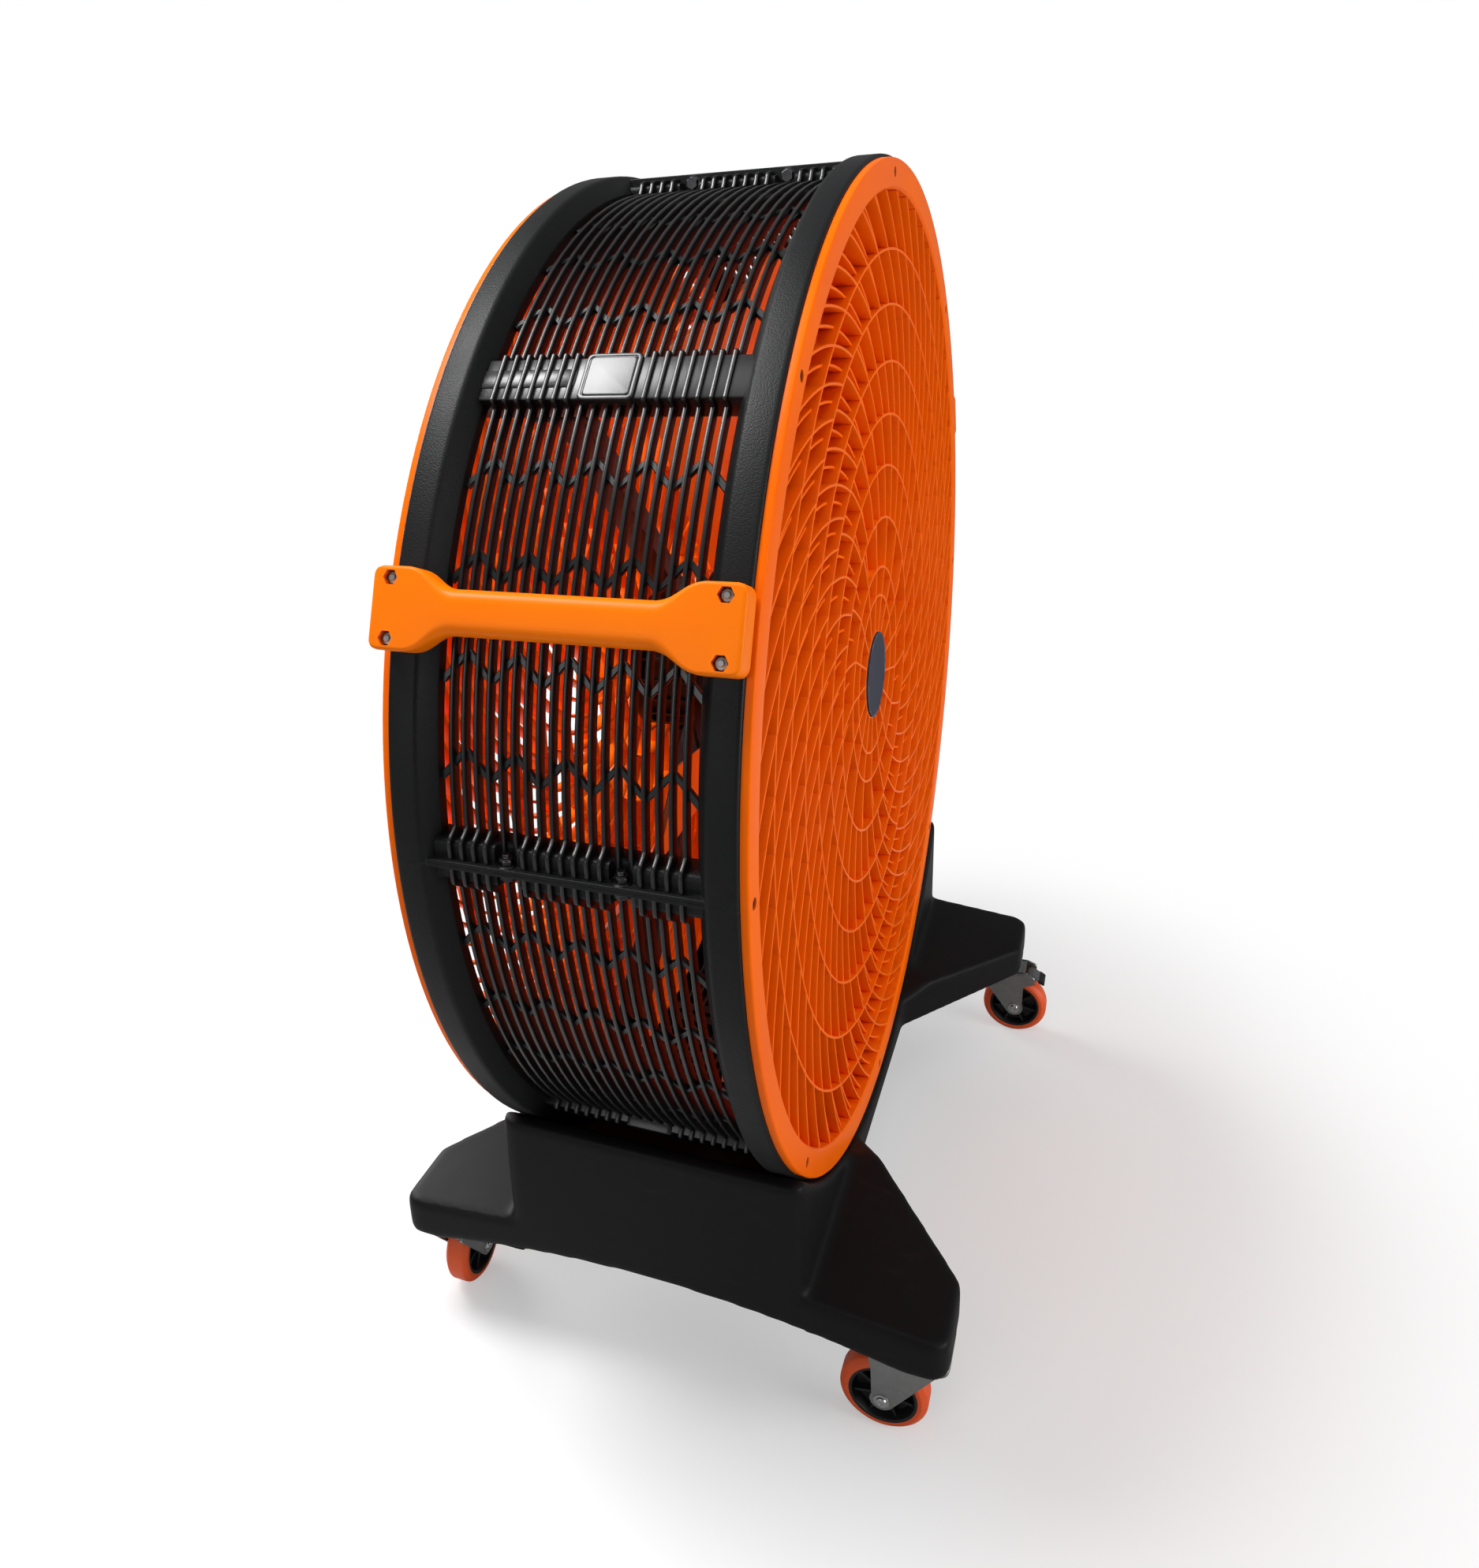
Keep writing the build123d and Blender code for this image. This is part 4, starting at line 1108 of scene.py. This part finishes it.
def barShapes(values):  # crossbar with a raised plate and, to one side, a flat panel
    face, end, half = values["barFace"], values["landEdge"], values["barHalf"]
    shapes = [roundBox((values["barInner"], -end, -half), (face, end, half), 2.0)]
    wide, tall = (size / 2 for size in values["plate"])
    levels = [  # inset, height over the bar's face, corner radius
        (0.0, -6.0, 6), (0.0, 1.6, 6), (0.5, 2.6, 6), (1.6, 3.0, 5.5), (3.0, 3.0, 5), (3.4, 2.2, 4.6),
        (4.2, 2.2, 4.2), (5.0, 3.0, 4), (6.0, 3.2, 3.6),
    ]
    rings = []
    for inset, height, radius in levels:
        outline = softRectangle((-wide + inset, -tall + inset), (wide - inset, tall - inset), radius, 4)
        rings.append([(face + height, y, z) for y, z in outline])
    shapes.append(loftShape(rings))
    (low, under), (high, over) = values["panel"]
    bevel = values["panelBevel"]
    panel = softRectangle((low, under), (high, over), 4.0, 3)
    inner = softRectangle((low + bevel, under + bevel), (high - bevel, over - bevel), 3.4, 3)
    levels = ((-1, panel), (0.6, panel), (1.2, inner))
    shapes.append(loftShape([[(face + height, y, z) for y, z in outline] for height, outline in levels]))
    return shapes


def makeSectors(values):
    blocks = [blockShape(values), flangeShape(values)]
    blocks += [mirroredShape(shape, 2) for shape in blocks]
    rim = rimShape(values)
    solids = [rim, mirroredShape(rim, 1), *blocks]
    step = math.radians(values["webStep"])
    webs = {
        "Ribs": values["ribCount"] + 2,
        "Pitch": values["ribPitch"] * mm,
        "Swing": -values["webSwing"] * mm,
        "Radius": (values["ribInner"] + values["webRise"]) * mm,
        "Rows": values["webRows"],
        "Row step": step,
        "Width": values["webWidth"] * mm,
        "Thickness": values["webThickness"] * mm,
        "Material": finishes["ribBlack"],
    }
    start = meshOf("sectorWebs", ([], []))
    above = {**webs, "First row": step}
    below = {**webs, "First row": -values["webRows"] * step}
    webMesh = runTree(start, [(trees["zigzag"], above), (trees["zigzag"], below)])
    bar = meshOf("crossbar", joinedShape(barShapes(values)))
    ribs = joinMeshes("sectorRibs", [*ribMeshes(values), webMesh, bar])
    tidyMesh(ribs)
    shells = meshOf("sectorShells", joinedShape(solids))
    for name, angle in (("top_right", 45), ("top_left", 135), ("bottom_left", 225), ("bottom_right", 315)):
        for kind, mesh, finish in (("Shell", shells, "drumBlack"), ("Ribs", ribs, "ribBlack")):
            replaced = ("drum_sector_" + name,) if kind == "Shell" else ()
            title = titleOf(name) + kind
            copy = placedCopy(mesh, aboutFan(angle))
            finishPiece(copy, title, finish, replaced=replaced, sharp=40.0)


makeSectors(drum)
print("drum made")


# Nuts and bolts along the seams

seamHardware = {
    "boltRadius": 590.0,
    "boltDepths": (-56.5, 56.5),
    "seat": 4.0,
    "hexRadius": 7.2,
    "thread": 3.9,
    "washer": 9.7,
    "nutEnd": 12.0,
    "headTrim": 1.0,  # a head's washer is this much smaller than a nut's
}


def nutShapes(values, washer):  # flanged lock nut about +Z with the bolt's end through it
    hexRadius, thread = values["hexRadius"], values["thread"]
    skirt = softOutline([
        (0.0, 0.0, 0.0), (washer, 0.0, 0.0), (washer, 1.1, 0.5), (hexRadius, 1.8, 0.3), (0.0, 1.8, 0.0),
    ], 3)
    low, high, crest = 0.85 * hexRadius, 1.14 * hexRadius, hexRadius - 0.9
    collar = softOutline([
        (0.0, low, 0.0), (crest, low, 0.0), (crest, high, 0.9), (thread, high + 0.2, 0.2),
        (0.0, high + 0.2, 0.0),
    ], 3)
    body = hexShape(hexRadius, 1.5, 0.92 * hexRadius, 0.5)
    end = threadShape(thread, low, values["nutEnd"], 1.0)
    return [spinShape(skirt, 32), body, spinShape(collar, 28), end]


def headShapes(hexRadius, washer):  # hexagon head about +Z on a plain washer, its top ring pressed in
    ring = softOutline([(0.0, 0.0, 0.0), (washer, 0.0, 0.2), (washer, 1.2, 0.4), (0.0, 1.2, 0.0)], 2)
    top, rim = 0.9 * hexRadius, hexRadius - 1.0
    dish = softOutline([
        (0.0, top - 0.4, 0.0), (hexRadius - 1.7, top - 0.4, 0.3), (rim, top + 0.1, 0.3),
        (rim, top - 0.6, 0.0), (0.0, top - 0.6, 0.0),
    ], 2)
    return [spinShape(ring, 32), hexShape(hexRadius, 1.2, top, 0.5), spinShape(dish, 28)]


def makeSeamHardware(name, values, node, flipped):
    if flipped:
        shapes = nutShapes(values, values["washer"])
    else:
        shapes = headShapes(values["hexRadius"], values["washer"] - values["headTrim"])
    way = Matrix.Rotation(math.pi if flipped else 0.0, 4, "X") @ shift(0, 0, values["seat"])
    spots = [shift(values["boltRadius"], depth, 0) @ way for depth in values["boltDepths"]]
    pair = joinedShape([movedShape(shape, spot) for shape in shapes for spot in spots])
    mesh = turnedCopies(meshOf(name, pair), 4, "darkSteel")
    finishPiece(mesh, name, "darkSteel", replaced=(node,), sharp=30.0)


makeSeamHardware("seamBolts", seamHardware, "flange_bolts", False)
makeSeamHardware("seamNuts", seamHardware, "flange_nuts", True)
print("seam hardware made")


# Handles

handle = {
    "angle": 22.4,
    "seat": 604.3,
    "thickness": 27.7,
    "halfLength": 172.0,
    "padStart": 136.0,
    "gripHalf": 93.0,
    "padWidth": 37.5,
    "gripWidth": 20.5,
    "padEdge": 4.0,
    "endEdge": 9.0,
    "boltDepth": 154.0,
    "boltSpread": 27.0,
    "recess": 12.0,
    "recessRadius": 7.4,
    "hexRadius": 6.4,
    "thread": 3.0,
    "nutEnd": 9.4,
}


def handleSection(values, depth, inset):
    reach = abs(depth)
    share = (reach - values["gripHalf"]) / (values["padStart"] - values["gripHalf"])
    flare = min(1.0, max(0.0, share))
    flare -= 0.09 * math.sin(2 * math.pi * flare)
    width = values["gripWidth"] + (values["padWidth"] - values["gripWidth"]) * flare
    over = reach - (values["halfLength"] - values["endEdge"])
    if over > 0:
        width -= values["endEdge"] - math.sqrt(max(0.0, values["endEdge"] ** 2 - over**2))
    width -= inset
    low, high = values["seat"] + inset, values["seat"] + values["thickness"] - inset
    middle = values["thickness"] / 2
    rounding = middle - (middle - values["padEdge"]) * smoothStep(share * 1.1)
    ring = []
    for radius, offset in softRectangle((low, -width), (high, width), max(0.5, rounding - inset), 7):
        drop = values["seat"] - math.sqrt(values["seat"] ** 2 - offset**2)
        lift = (high - radius) / (high - low)
        ring.append((radius - drop * lift, depth, offset))
    return ring


def boltSpots(values):
    along, aside = values["boltDepth"], values["boltSpread"]
    return [(depth, offset) for depth in (-along, along) for offset in (-aside, aside)]


def makeHandle(name, values, angle, node):
    end, pad, grip = values["halfLength"], values["padStart"], values["gripHalf"]
    rings = [(end, 3.5), (end - 0.35, 2.2), (end - 1.2, 1.0), (end - 2.6, 0.25), (end - 4.0, 0.0)]
    depths = [end - 5.0, end - 9.0, end - 18.0, pad + 8]
    depths += [pad + (grip - pad) * step / 12 for step in range(13)]
    rings += [(depth, 0.0) for depth in (*depths, grip - 6, 60.0, 30.0, 0.0)]
    rings += [(-depth, inset) for depth, inset in reversed(rings[:-1])]
    blank = loftShape([handleSection(values, depth, inset) for depth, inset in rings])
    top = values["seat"] + values["thickness"]
    heights = (top - values["recess"], top + 3)
    cutters = []
    for depth, offset in boltSpots(values):
        corners = [(depth + y, offset + z) for y, z in hexagon(values["recessRadius"])]
        cutters.append(loftShape([[(height, y, z) for y, z in corners] for height in heights]))
    place = aboutFan(angle)
    mesh = carveMesh(meshOf(name, movedShape(blank, place)), movedShape(joinedShape(cutters), place))
    finishPiece(mesh, name, "handleOrange", replaced=(node,), sharp=38.0)


def makeHandleNuts(values):
    seat = values["seat"] + values["thickness"] - values["recess"]
    nut = nutShapes(values, values["hexRadius"])
    outward = Matrix.Rotation(math.radians(90.0), 4, "Y")
    shapes = []
    for angle in (values["angle"], 180 - values["angle"]):
        for depth, offset in boltSpots(values):
            spot = aboutFan(angle) @ shift(seat, depth, offset) @ outward
            shapes += [movedShape(shape, spot) for shape in nut]
    mesh = meshOf("handleNuts", joinedShape(shapes))
    finishPiece(mesh, "handleNuts", "zinc", replaced=("handle_bolts",), sharp=30.0)


makeHandle("rightHandle", handle, handle["angle"], "handle_right")
makeHandle("leftHandle", handle, 180 - handle["angle"], "handle_left")
makeHandleNuts(handle)
print("handles made")


# Base

baseShell = {"voxel": 0.003, "rounds": 40, "flat": 0.6}


def makeBase(values):
    mesh = frame["nodes"]["base"].data.copy()
    tidyMesh(mesh)
    holder = bpy.data.objects.new("baseBlank", mesh)
    bpy.context.scene.collection.objects.link(holder)
    skin = holder.modifiers.new("skin", "REMESH")
    skin.mode = "VOXEL"
    skin.voxel_size = values["voxel"]
    soft = holder.modifiers.new("soft", "SMOOTH")
    soft.factor = 0.5
    soft.iterations = values["rounds"]
    thin = holder.modifiers.new("thin", "DECIMATE")
    thin.decimate_type = "DISSOLVE"
    thin.angle_limit = math.radians(values["flat"])
    shading = holder.modifiers.new("shading", "WEIGHTED_NORMAL")
    shading.keep_sharp = True
    bpy.context.view_layer.update()
    made = bpy.data.meshes.new_from_object(holder.evaluated_get(bpy.context.evaluated_depsgraph_get()))
    bpy.data.objects.remove(holder)
    print("base faces:", len(made.polygons))
    finishPiece(made, "mouldedBase", "baseBlack", replaced=("base",), sharp=60.0)


makeBase(baseShell)
print("base made")


# Impeller

impeller = {
    "radius": 542.0,
    "hubRadius": 78.0,
    "bore": 12.6,
    "middle": -48.0,
    "hubLength": 66.0,
    "blades": 6,
    "thickness": 6.0,
    # radius, chord, pitch in degrees and camber at the root, in the middle and at the tip
    "stations": ((70.0, 84.0, 46.0, 7.0), (310.0, 170.0, 34.0, 14.0), (542.0, 215.0, 25.0, 16.0)),
}


def bladeRing(values, radius, squeeze):
    root, middle, tip = values["stations"]
    low, high = (root, middle) if radius < middle[0] else (middle, tip)
    share = (radius - low[0]) / (high[0] - low[0])
    chord, pitch, camber = (a + (b - a) * share for a, b in zip(low[1:], high[1:]))
    turn = math.radians(pitch)
    half = chord / 2 * squeeze
    ring = []
    upper = [-1 + 2 * k / 10 for k in range(11)]
    for side, walk in ((1, upper), (-1, upper[::-1])):
        for share in walk:
            thick = values["thickness"] / 2 * (0.22 + 0.78 * (1 - abs(share) ** 2.4)) * squeeze
            rise = camber * (1 - share * share) + side * thick
            depth = values["middle"] + share * half * math.sin(turn) - rise * math.cos(turn)
            ring.append((radius, depth, share * half * math.cos(turn) + rise * math.sin(turn)))
    return ring


def makeImpeller(values):
    root, tip = values["stations"][0][0], values["radius"]
    rings = [(radius, 1) for radius in (root, 110, 160, 220, 280, 340, 400, 450, 500, 525)]
    rings += [(tip - 6, 0.985), (tip - 1.5, 0.96), (tip, 0.93)]
    blade = meshOf("blade", loftShape([bladeRing(values, radius, squeeze) for radius, squeeze in rings]))
    blades = turnedCopies(blade, values["blades"], "impellerOrange")
    near, far = values["middle"] - values["hubLength"] / 2, values["middle"] + values["hubLength"] / 2
    wide, bore = values["hubRadius"], values["bore"]
    outline = softOutline([
        (bore, near, 0), (30.0, near, 1.5), (32.0, near + 3, 1.5), (wide - 12, near + 3, 2),
        (wide - 3, near + 6, 6), (wide, near + 16, 4), (wide, far, 1.5), (wide - 8, far, 1.5),
        (wide - 8, near + 14, 2), (28.0, near + 14, 2), (28.0, far, 1.5), (bore, far, 0),
    ])
    hub = meshOf("hub", movedShape(latheShape(outline, 64), shift(0, 0, fanAxis)))
    mesh = joinMeshes("impeller", [blades, hub])
    tidyMesh(mesh)
    body = "impeller_assembly"
    finishPiece(mesh, "impellerBlades", "impellerOrange", body, ("impeller",), 45.0)


makeImpeller(impeller)
print("impeller made")


# Casters

caster = {
    "places": {  # across, along and the heading in degrees
        "front_left": (-402.0, -294.0, 0.0),
        "front_right": (402.0, -294.0, 180.0),
        "rear_left": (-402.0, 294.0, -90.0),
        "rear_right": (402.0, 294.0, 0.0),
    },
    "trail": 33.0,
    "wheelRadius": 50.0,
    "coreRadius": 39.0,
    "treadHalf": 16.0,
    "hubHalf": 18.0,
    "axleRadius": 5.0,
    "forkTop": 117.7,
    "forkPlate": 4.0,
    "raceRadius": 26.0,
    "plateHalf": 40.0,
    "plateTop": 131.0,
    "plateThickness": 5.0,
    "plateCorner": 16,
    "raceHeight": 8.0,
    "kingpin": 6.0,
    "kingpinNut": 11.0,
    "spokes": 7,
}


def aboutAxle(outline, steps=64):  # outline of (along, radius); the wheel axle lies along X
    shape = latheShape([(radius, along) for along, radius in outline], steps)
    points = [(y, x, z) for x, y, z in shape[0]]
    return points, [tuple(reversed(face)) for face in shape[1]]


def casterPlace(values, name):
    x, y, heading = values["places"][name]
    return shift(x, y, 0) @ Matrix.Rotation(math.radians(heading), 4, "Z")


def wheelPlace(values, name):
    return casterPlace(values, name) @ shift(0, values["trail"], values["wheelRadius"])


def treadShape(values):
    half, inner, outer = values["treadHalf"], values["coreRadius"], values["wheelRadius"]
    return aboutAxle(softOutline([
        (-half, inner, 0.0), (-half, outer - 6.5, 4.0), (-half + 5.5, outer, 5.0),
        (half - 5.5, outer, 5.0), (half, outer - 6.5, 4.0), (half, inner, 0.0),
    ], 4), 72)


def coreMesh(values):
    half, hub = values["treadHalf"], values["hubHalf"]
    rim = values["coreRadius"]
    bore = values["axleRadius"] + 0.05
    corners = [  # one side, from the bore to the tread; the other side mirrors it
        (-hub, bore, 0), (-hub, bore + 7.5, 1.2), (-half + 5, bore + 9, 2), (-3, bore + 10, 2),
        (-3, rim - 7, 2), (-half + 1.5, rim - 4, 1.5), (-half, rim - 3.4, 0.8), (-half, rim, 0),
    ]
    corners += [(-along, radius, rounding) for along, radius, rounding in reversed(corners)]
    disc = meshOf("core", aboutAxle(softOutline(corners), 64))
    spoke = meshOf("spoke", roundBox((-half + 4.0, -1.7, bore + 7.0), (half - 4.0, 1.7, rim - 5.0), 0.7))
    settings = {"Centre": (0.0, 0.0, 0.0), "Axis": (1.0, 0.0, 0.0)}
    spokes = turnedCopies(spoke, values["spokes"], "coreBlack", **settings)
    mesh = joinMeshes("wheelCore", [disc, spokes])
    tidyMesh(mesh)
    return mesh


def forkShapes(values, eared):  # the ears hold the pedal's pin
    inner = values["hubHalf"] + 1
    top, plate, trail = values["forkTop"], values["forkPlate"], values["trail"]
    low, race, boss = values["wheelRadius"], values["raceRadius"], values["axleRadius"] + 9
    turns = [math.radians(angle) for angle in range(-150, 31, 20)]
    corners = [(-race, top, 0.0), (-race, top - 11, 4.0)]
    corners += [(trail + boss * math.cos(turn), low + boss * math.sin(turn), 0.0) for turn in turns]
    neck, crown, ear = trail + boss - 1, trail + 1.1 * boss, trail + 2.15 * boss
    if eared:
        corners += [(neck, top - 24, 7.0), (ear, top - 18, 6.0), (ear, top - 5, 6.0), (crown, top, 3.0)]
    else:
        corners += [(neck, top - 24, 5.0), (crown, top - 12, 3.0), (crown, top, 0.0)]
    outline = softOutline(corners, 4)
    shapes = []
    middle = (trail, low + 20)
    for near in (-inner - plate, inner):
        rings = []
        for inset, x in ((0.7, near), (0.0, near + 0.7), (0.0, near + plate - 0.7), (0.7, near + plate)):
            ring = []
            for y, z in outline:
                away = Vector((y - middle[0], z - middle[1]))
                if inset and away.length > 1 and z < top - 1:
                    away -= away.normalized() * inset
                ring.append((x, middle[0] + away.x, middle[1] + away.y))
            rings.append(ring)
        shapes.append(loftShape(rings))
    shapes.append(roundBox((-inner - plate, -race, top - plate), (inner + plate, crown - 1, top), 1.6))
    return shapes


def axleShapes(values):
    outer = values["hubHalf"] + 1 + values["forkPlate"]
    radius = values["axleRadius"]
    shapes = [aboutAxle([(-outer, 0), (-outer, radius), (outer, radius), (outer, 0)], 24)]
    washer = [(0, 0, 0), (0, radius + 4, 0.3), (1.3, radius + 4, 0.4), (1.3, 0, 0)]
    dome = [(1.2, 0, 0), (1.2, radius + 1.6, 0.3), (3.9, radius + 0.8, 1.2)]
    dome += [(3.9, 2.2, 0.2), (2.6, 1.8, 0.2), (2.6, 0, 0)]
    for side in (-1, 1):
        for corners, steps in ((washer, 2), (dome, 3)):
            outline = [(side * (outer + out), across, rounding) for out, across, rounding in corners]
            shapes.append(aboutAxle(softOutline(outline, steps), 32))
    return shapes


def pedalShapes(values):
    boss = values["axleRadius"] + 9
    y, z = values["trail"] + 2.2 * boss - 8, values["forkTop"] - values["forkPlate"] - 8
    half = values["hubHalf"]
    arm = softOutline([
        (y - 6, z - 4, 1.5), (y - 6, z + 4, 1.5), (y + 4, z + 5, 3), (y + 17, z - 2.6, 1.5),
        (y + 15.6, z - 6.2, 1.5), (y + 3, z - 1, 2),
    ], 3)
    lever = loftShape([[(x, a, b) for a, b in arm] for x in (-half + 5, half - 5)])
    pad = softOutline([
        (y + 13, z + 0.6, 2), (y + 23, z - 5.8, 3), (y + 21.4, z - 10.4, 2.5), (y + 12, z - 5.6, 2),
    ], 3)
    grip = loftShape([[(x, a, b) for a, b in pad] for x in (-half + 4, -half + 5, half - 5, half - 4)])
    end = half + 0.7
    pin = movedShape(aboutAxle([(-end, 0), (-end, 2.5), (end, 2.5), (end, 0)], 20), shift(0, y, z))
    return lever, grip, pin


def plateShapes(values):  # fixed top plate, swivel race and kingpin about +Z
    half, top = values["plateHalf"], values["plateTop"]
    under = top - values["plateThickness"]
    low = values["forkTop"] - values["forkPlate"] - 0.3
    rings = []
    for inset, height in ((0.8, under), (0.0, under + 0.8), (0.0, top - 0.8), (0.8, top)):
        edge = half - inset
        outline = softRectangle((-edge, -edge), (edge, edge), values["plateCorner"], 6)
        rings.append([(x, y, height) for x, y in outline])
    wide, race = values["raceRadius"], under - values["raceHeight"]
    cup = softOutline([
        (0.0, race, 0.0), (wide - 1.5, race, 1.0), (wide, race + 2.5, 1.5), (wide - 2, under - 2, 1.5),
        (wide - 1, under + 0.5, 0), (0.0, under + 0.5, 0.0),
    ], 3)
    stem, foot = values["kingpin"], low - 6.5
    pin = softOutline([(0.0, foot, 0.0), (stem, foot, 0.8), (stem, race + 1, 0.0), (0.0, race + 1, 0.0)], 3)
    nut = hexShape(values["kingpinNut"], -low, 5.0 - low, 0.7)
    nut = movedShape(nut, Matrix.Rotation(math.pi, 4, "X"))
    return [loftShape(rings), spinShape(cup, 48), spinShape(pin, 24), nut]


def castMesh(shapes, place):
    return meshOf("casting", joinedShape([movedShape(shape, place) for shape in shapes]))


def makeCasters(values):
    core, tread = coreMesh(values), treadShape(values)
    for name in values["places"]:
        place, wheel = casterPlace(values, name), wheelPlace(values, name)
        rolling, turning, pedal = "wheel_" + name, "fork_" + name, "pedal_" + name
        braked = pedal in frame["bodies"]
        rim, axle = castMesh([tread], wheel), castMesh(axleShapes(values), wheel)
        fork = castMesh(forkShapes(values, braked), place)
        plate = castMesh(plateShapes(values), place)
        pieces = [
            ("Tread", rim, "treadOrange", rolling, "tread_orange", "caster_tread_", 35.0),
            ("Core", placedCopy(core, wheel), "coreBlack", rolling, "core_black", "caster_core_", 35.0),
            ("Fork", fork, "zinc", turning, "caster_zinc", "caster_fork_", 30.0),
            ("Plate", plate, "zinc", "frame", "caster_zinc", "caster_plate_", 30.0),
            ("Axle", axle, "brightSteel", turning, "fastener_steel", "caster_axle_", 35.0),
        ]
        if braked:
            lever, grip, pin = pedalShapes(values)
            lever, grip = castMesh([lever, pin], place), castMesh([grip], place)
            pieces.append(("Lever", lever, "zinc", pedal, "pedal_zinc", "brake_pedal_", 35.0))
            pieces.append(("PedalPad", grip, "coreBlack", pedal, "core_black", None, 35.0))
        for kind, mesh, finish, body, slot, node, sharp in pieces:
            replaced = (node + name,) if node else ()
            finishPiece(mesh, titleOf(name) + kind, finish, body, replaced, sharp)


makeCasters(caster)
print("casters made")


# Pieces that keep their CAD shape, with their edges softened

keptNodes = {  # finish, width of the softened edge and slot
    "motor_housing": ("motorBlack", 0.5, "motor_paint"),
    "motor_front_bell": ("motorBlack", 1.5, "motor_paint"),
    "motor_rear_bell": ("motorBlack", 1.5, "motor_paint"),
    "motor_mount": ("motorBlack", 1.0, "strut_paint"),
    "motor_struts": ("motorBlack", 1.5, "strut_paint"),
    "terminal_box": ("motorBlack", 2.0, "fitting_plastic"),
    "cable_gland": ("coreBlack", 0.5, "fitting_plastic"),
    "motor_shaft": ("brightSteel", 0.8, "shaft_steel"),
    "hub_nut": ("brightSteel", 0.8, "fastener_steel"),
    "motor_rotor": ("darkSteel", 0.5, "rotor_steel"),
    "front_bearing": ("brightSteel", 0.5, "fastener_steel"),
    "rear_bearing": ("brightSteel", 0.5, "fastener_steel"),
    "cradle_bolts": ("darkSteel", 0.4, "fastener_steel"),
    "caster_bolts": ("darkSteel", 0.4, "fastener_steel"),
    "strut_bolts": ("darkSteel", 0.4, "fastener_steel"),
    "motor_bolts": ("darkSteel", 0.4, "fastener_steel"),
}


softening = {"flatAngle": 1.0, "edgeAngle": 32.0, "bulge": 0.6}  # angles in degrees


def softenNode(name, finish, width, values):
    mesh = frame["nodes"][name].data.copy()
    work = bmesh.new()
    work.from_mesh(mesh)
    bmesh.ops.remove_doubles(work, verts=work.verts, dist=1e-6)
    flat, crease = math.radians(values["flatAngle"]), math.radians(values["edgeAngle"])
    bmesh.ops.dissolve_limit(work, angle_limit=flat, verts=work.verts, edges=work.edges)
    edges = [edge for edge in work.edges if len(edge.link_faces) == 2 and edge.calc_face_angle() > crease]
    settings = {"offset_type": "OFFSET", "segments": 2, "profile": values["bulge"], "clamp_overlap": True}
    bmesh.ops.bevel(work, geom=edges, offset=width * mm, affect="EDGES", **settings)
    bmesh.ops.recalc_face_normals(work, faces=work.faces)
    work.to_mesh(mesh)
    work.free()
    body = frame["nodes"][name]["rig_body"]
    finishPiece(mesh, titleOf(name) + "Finished", finish, body, (name,), 30.0)


for nodeName, (finishName, bevelWidth, slotName) in keptNodes.items():
    softenNode(nodeName, finishName, bevelWidth, softening)
print("kept pieces finished:", len(keptNodes))
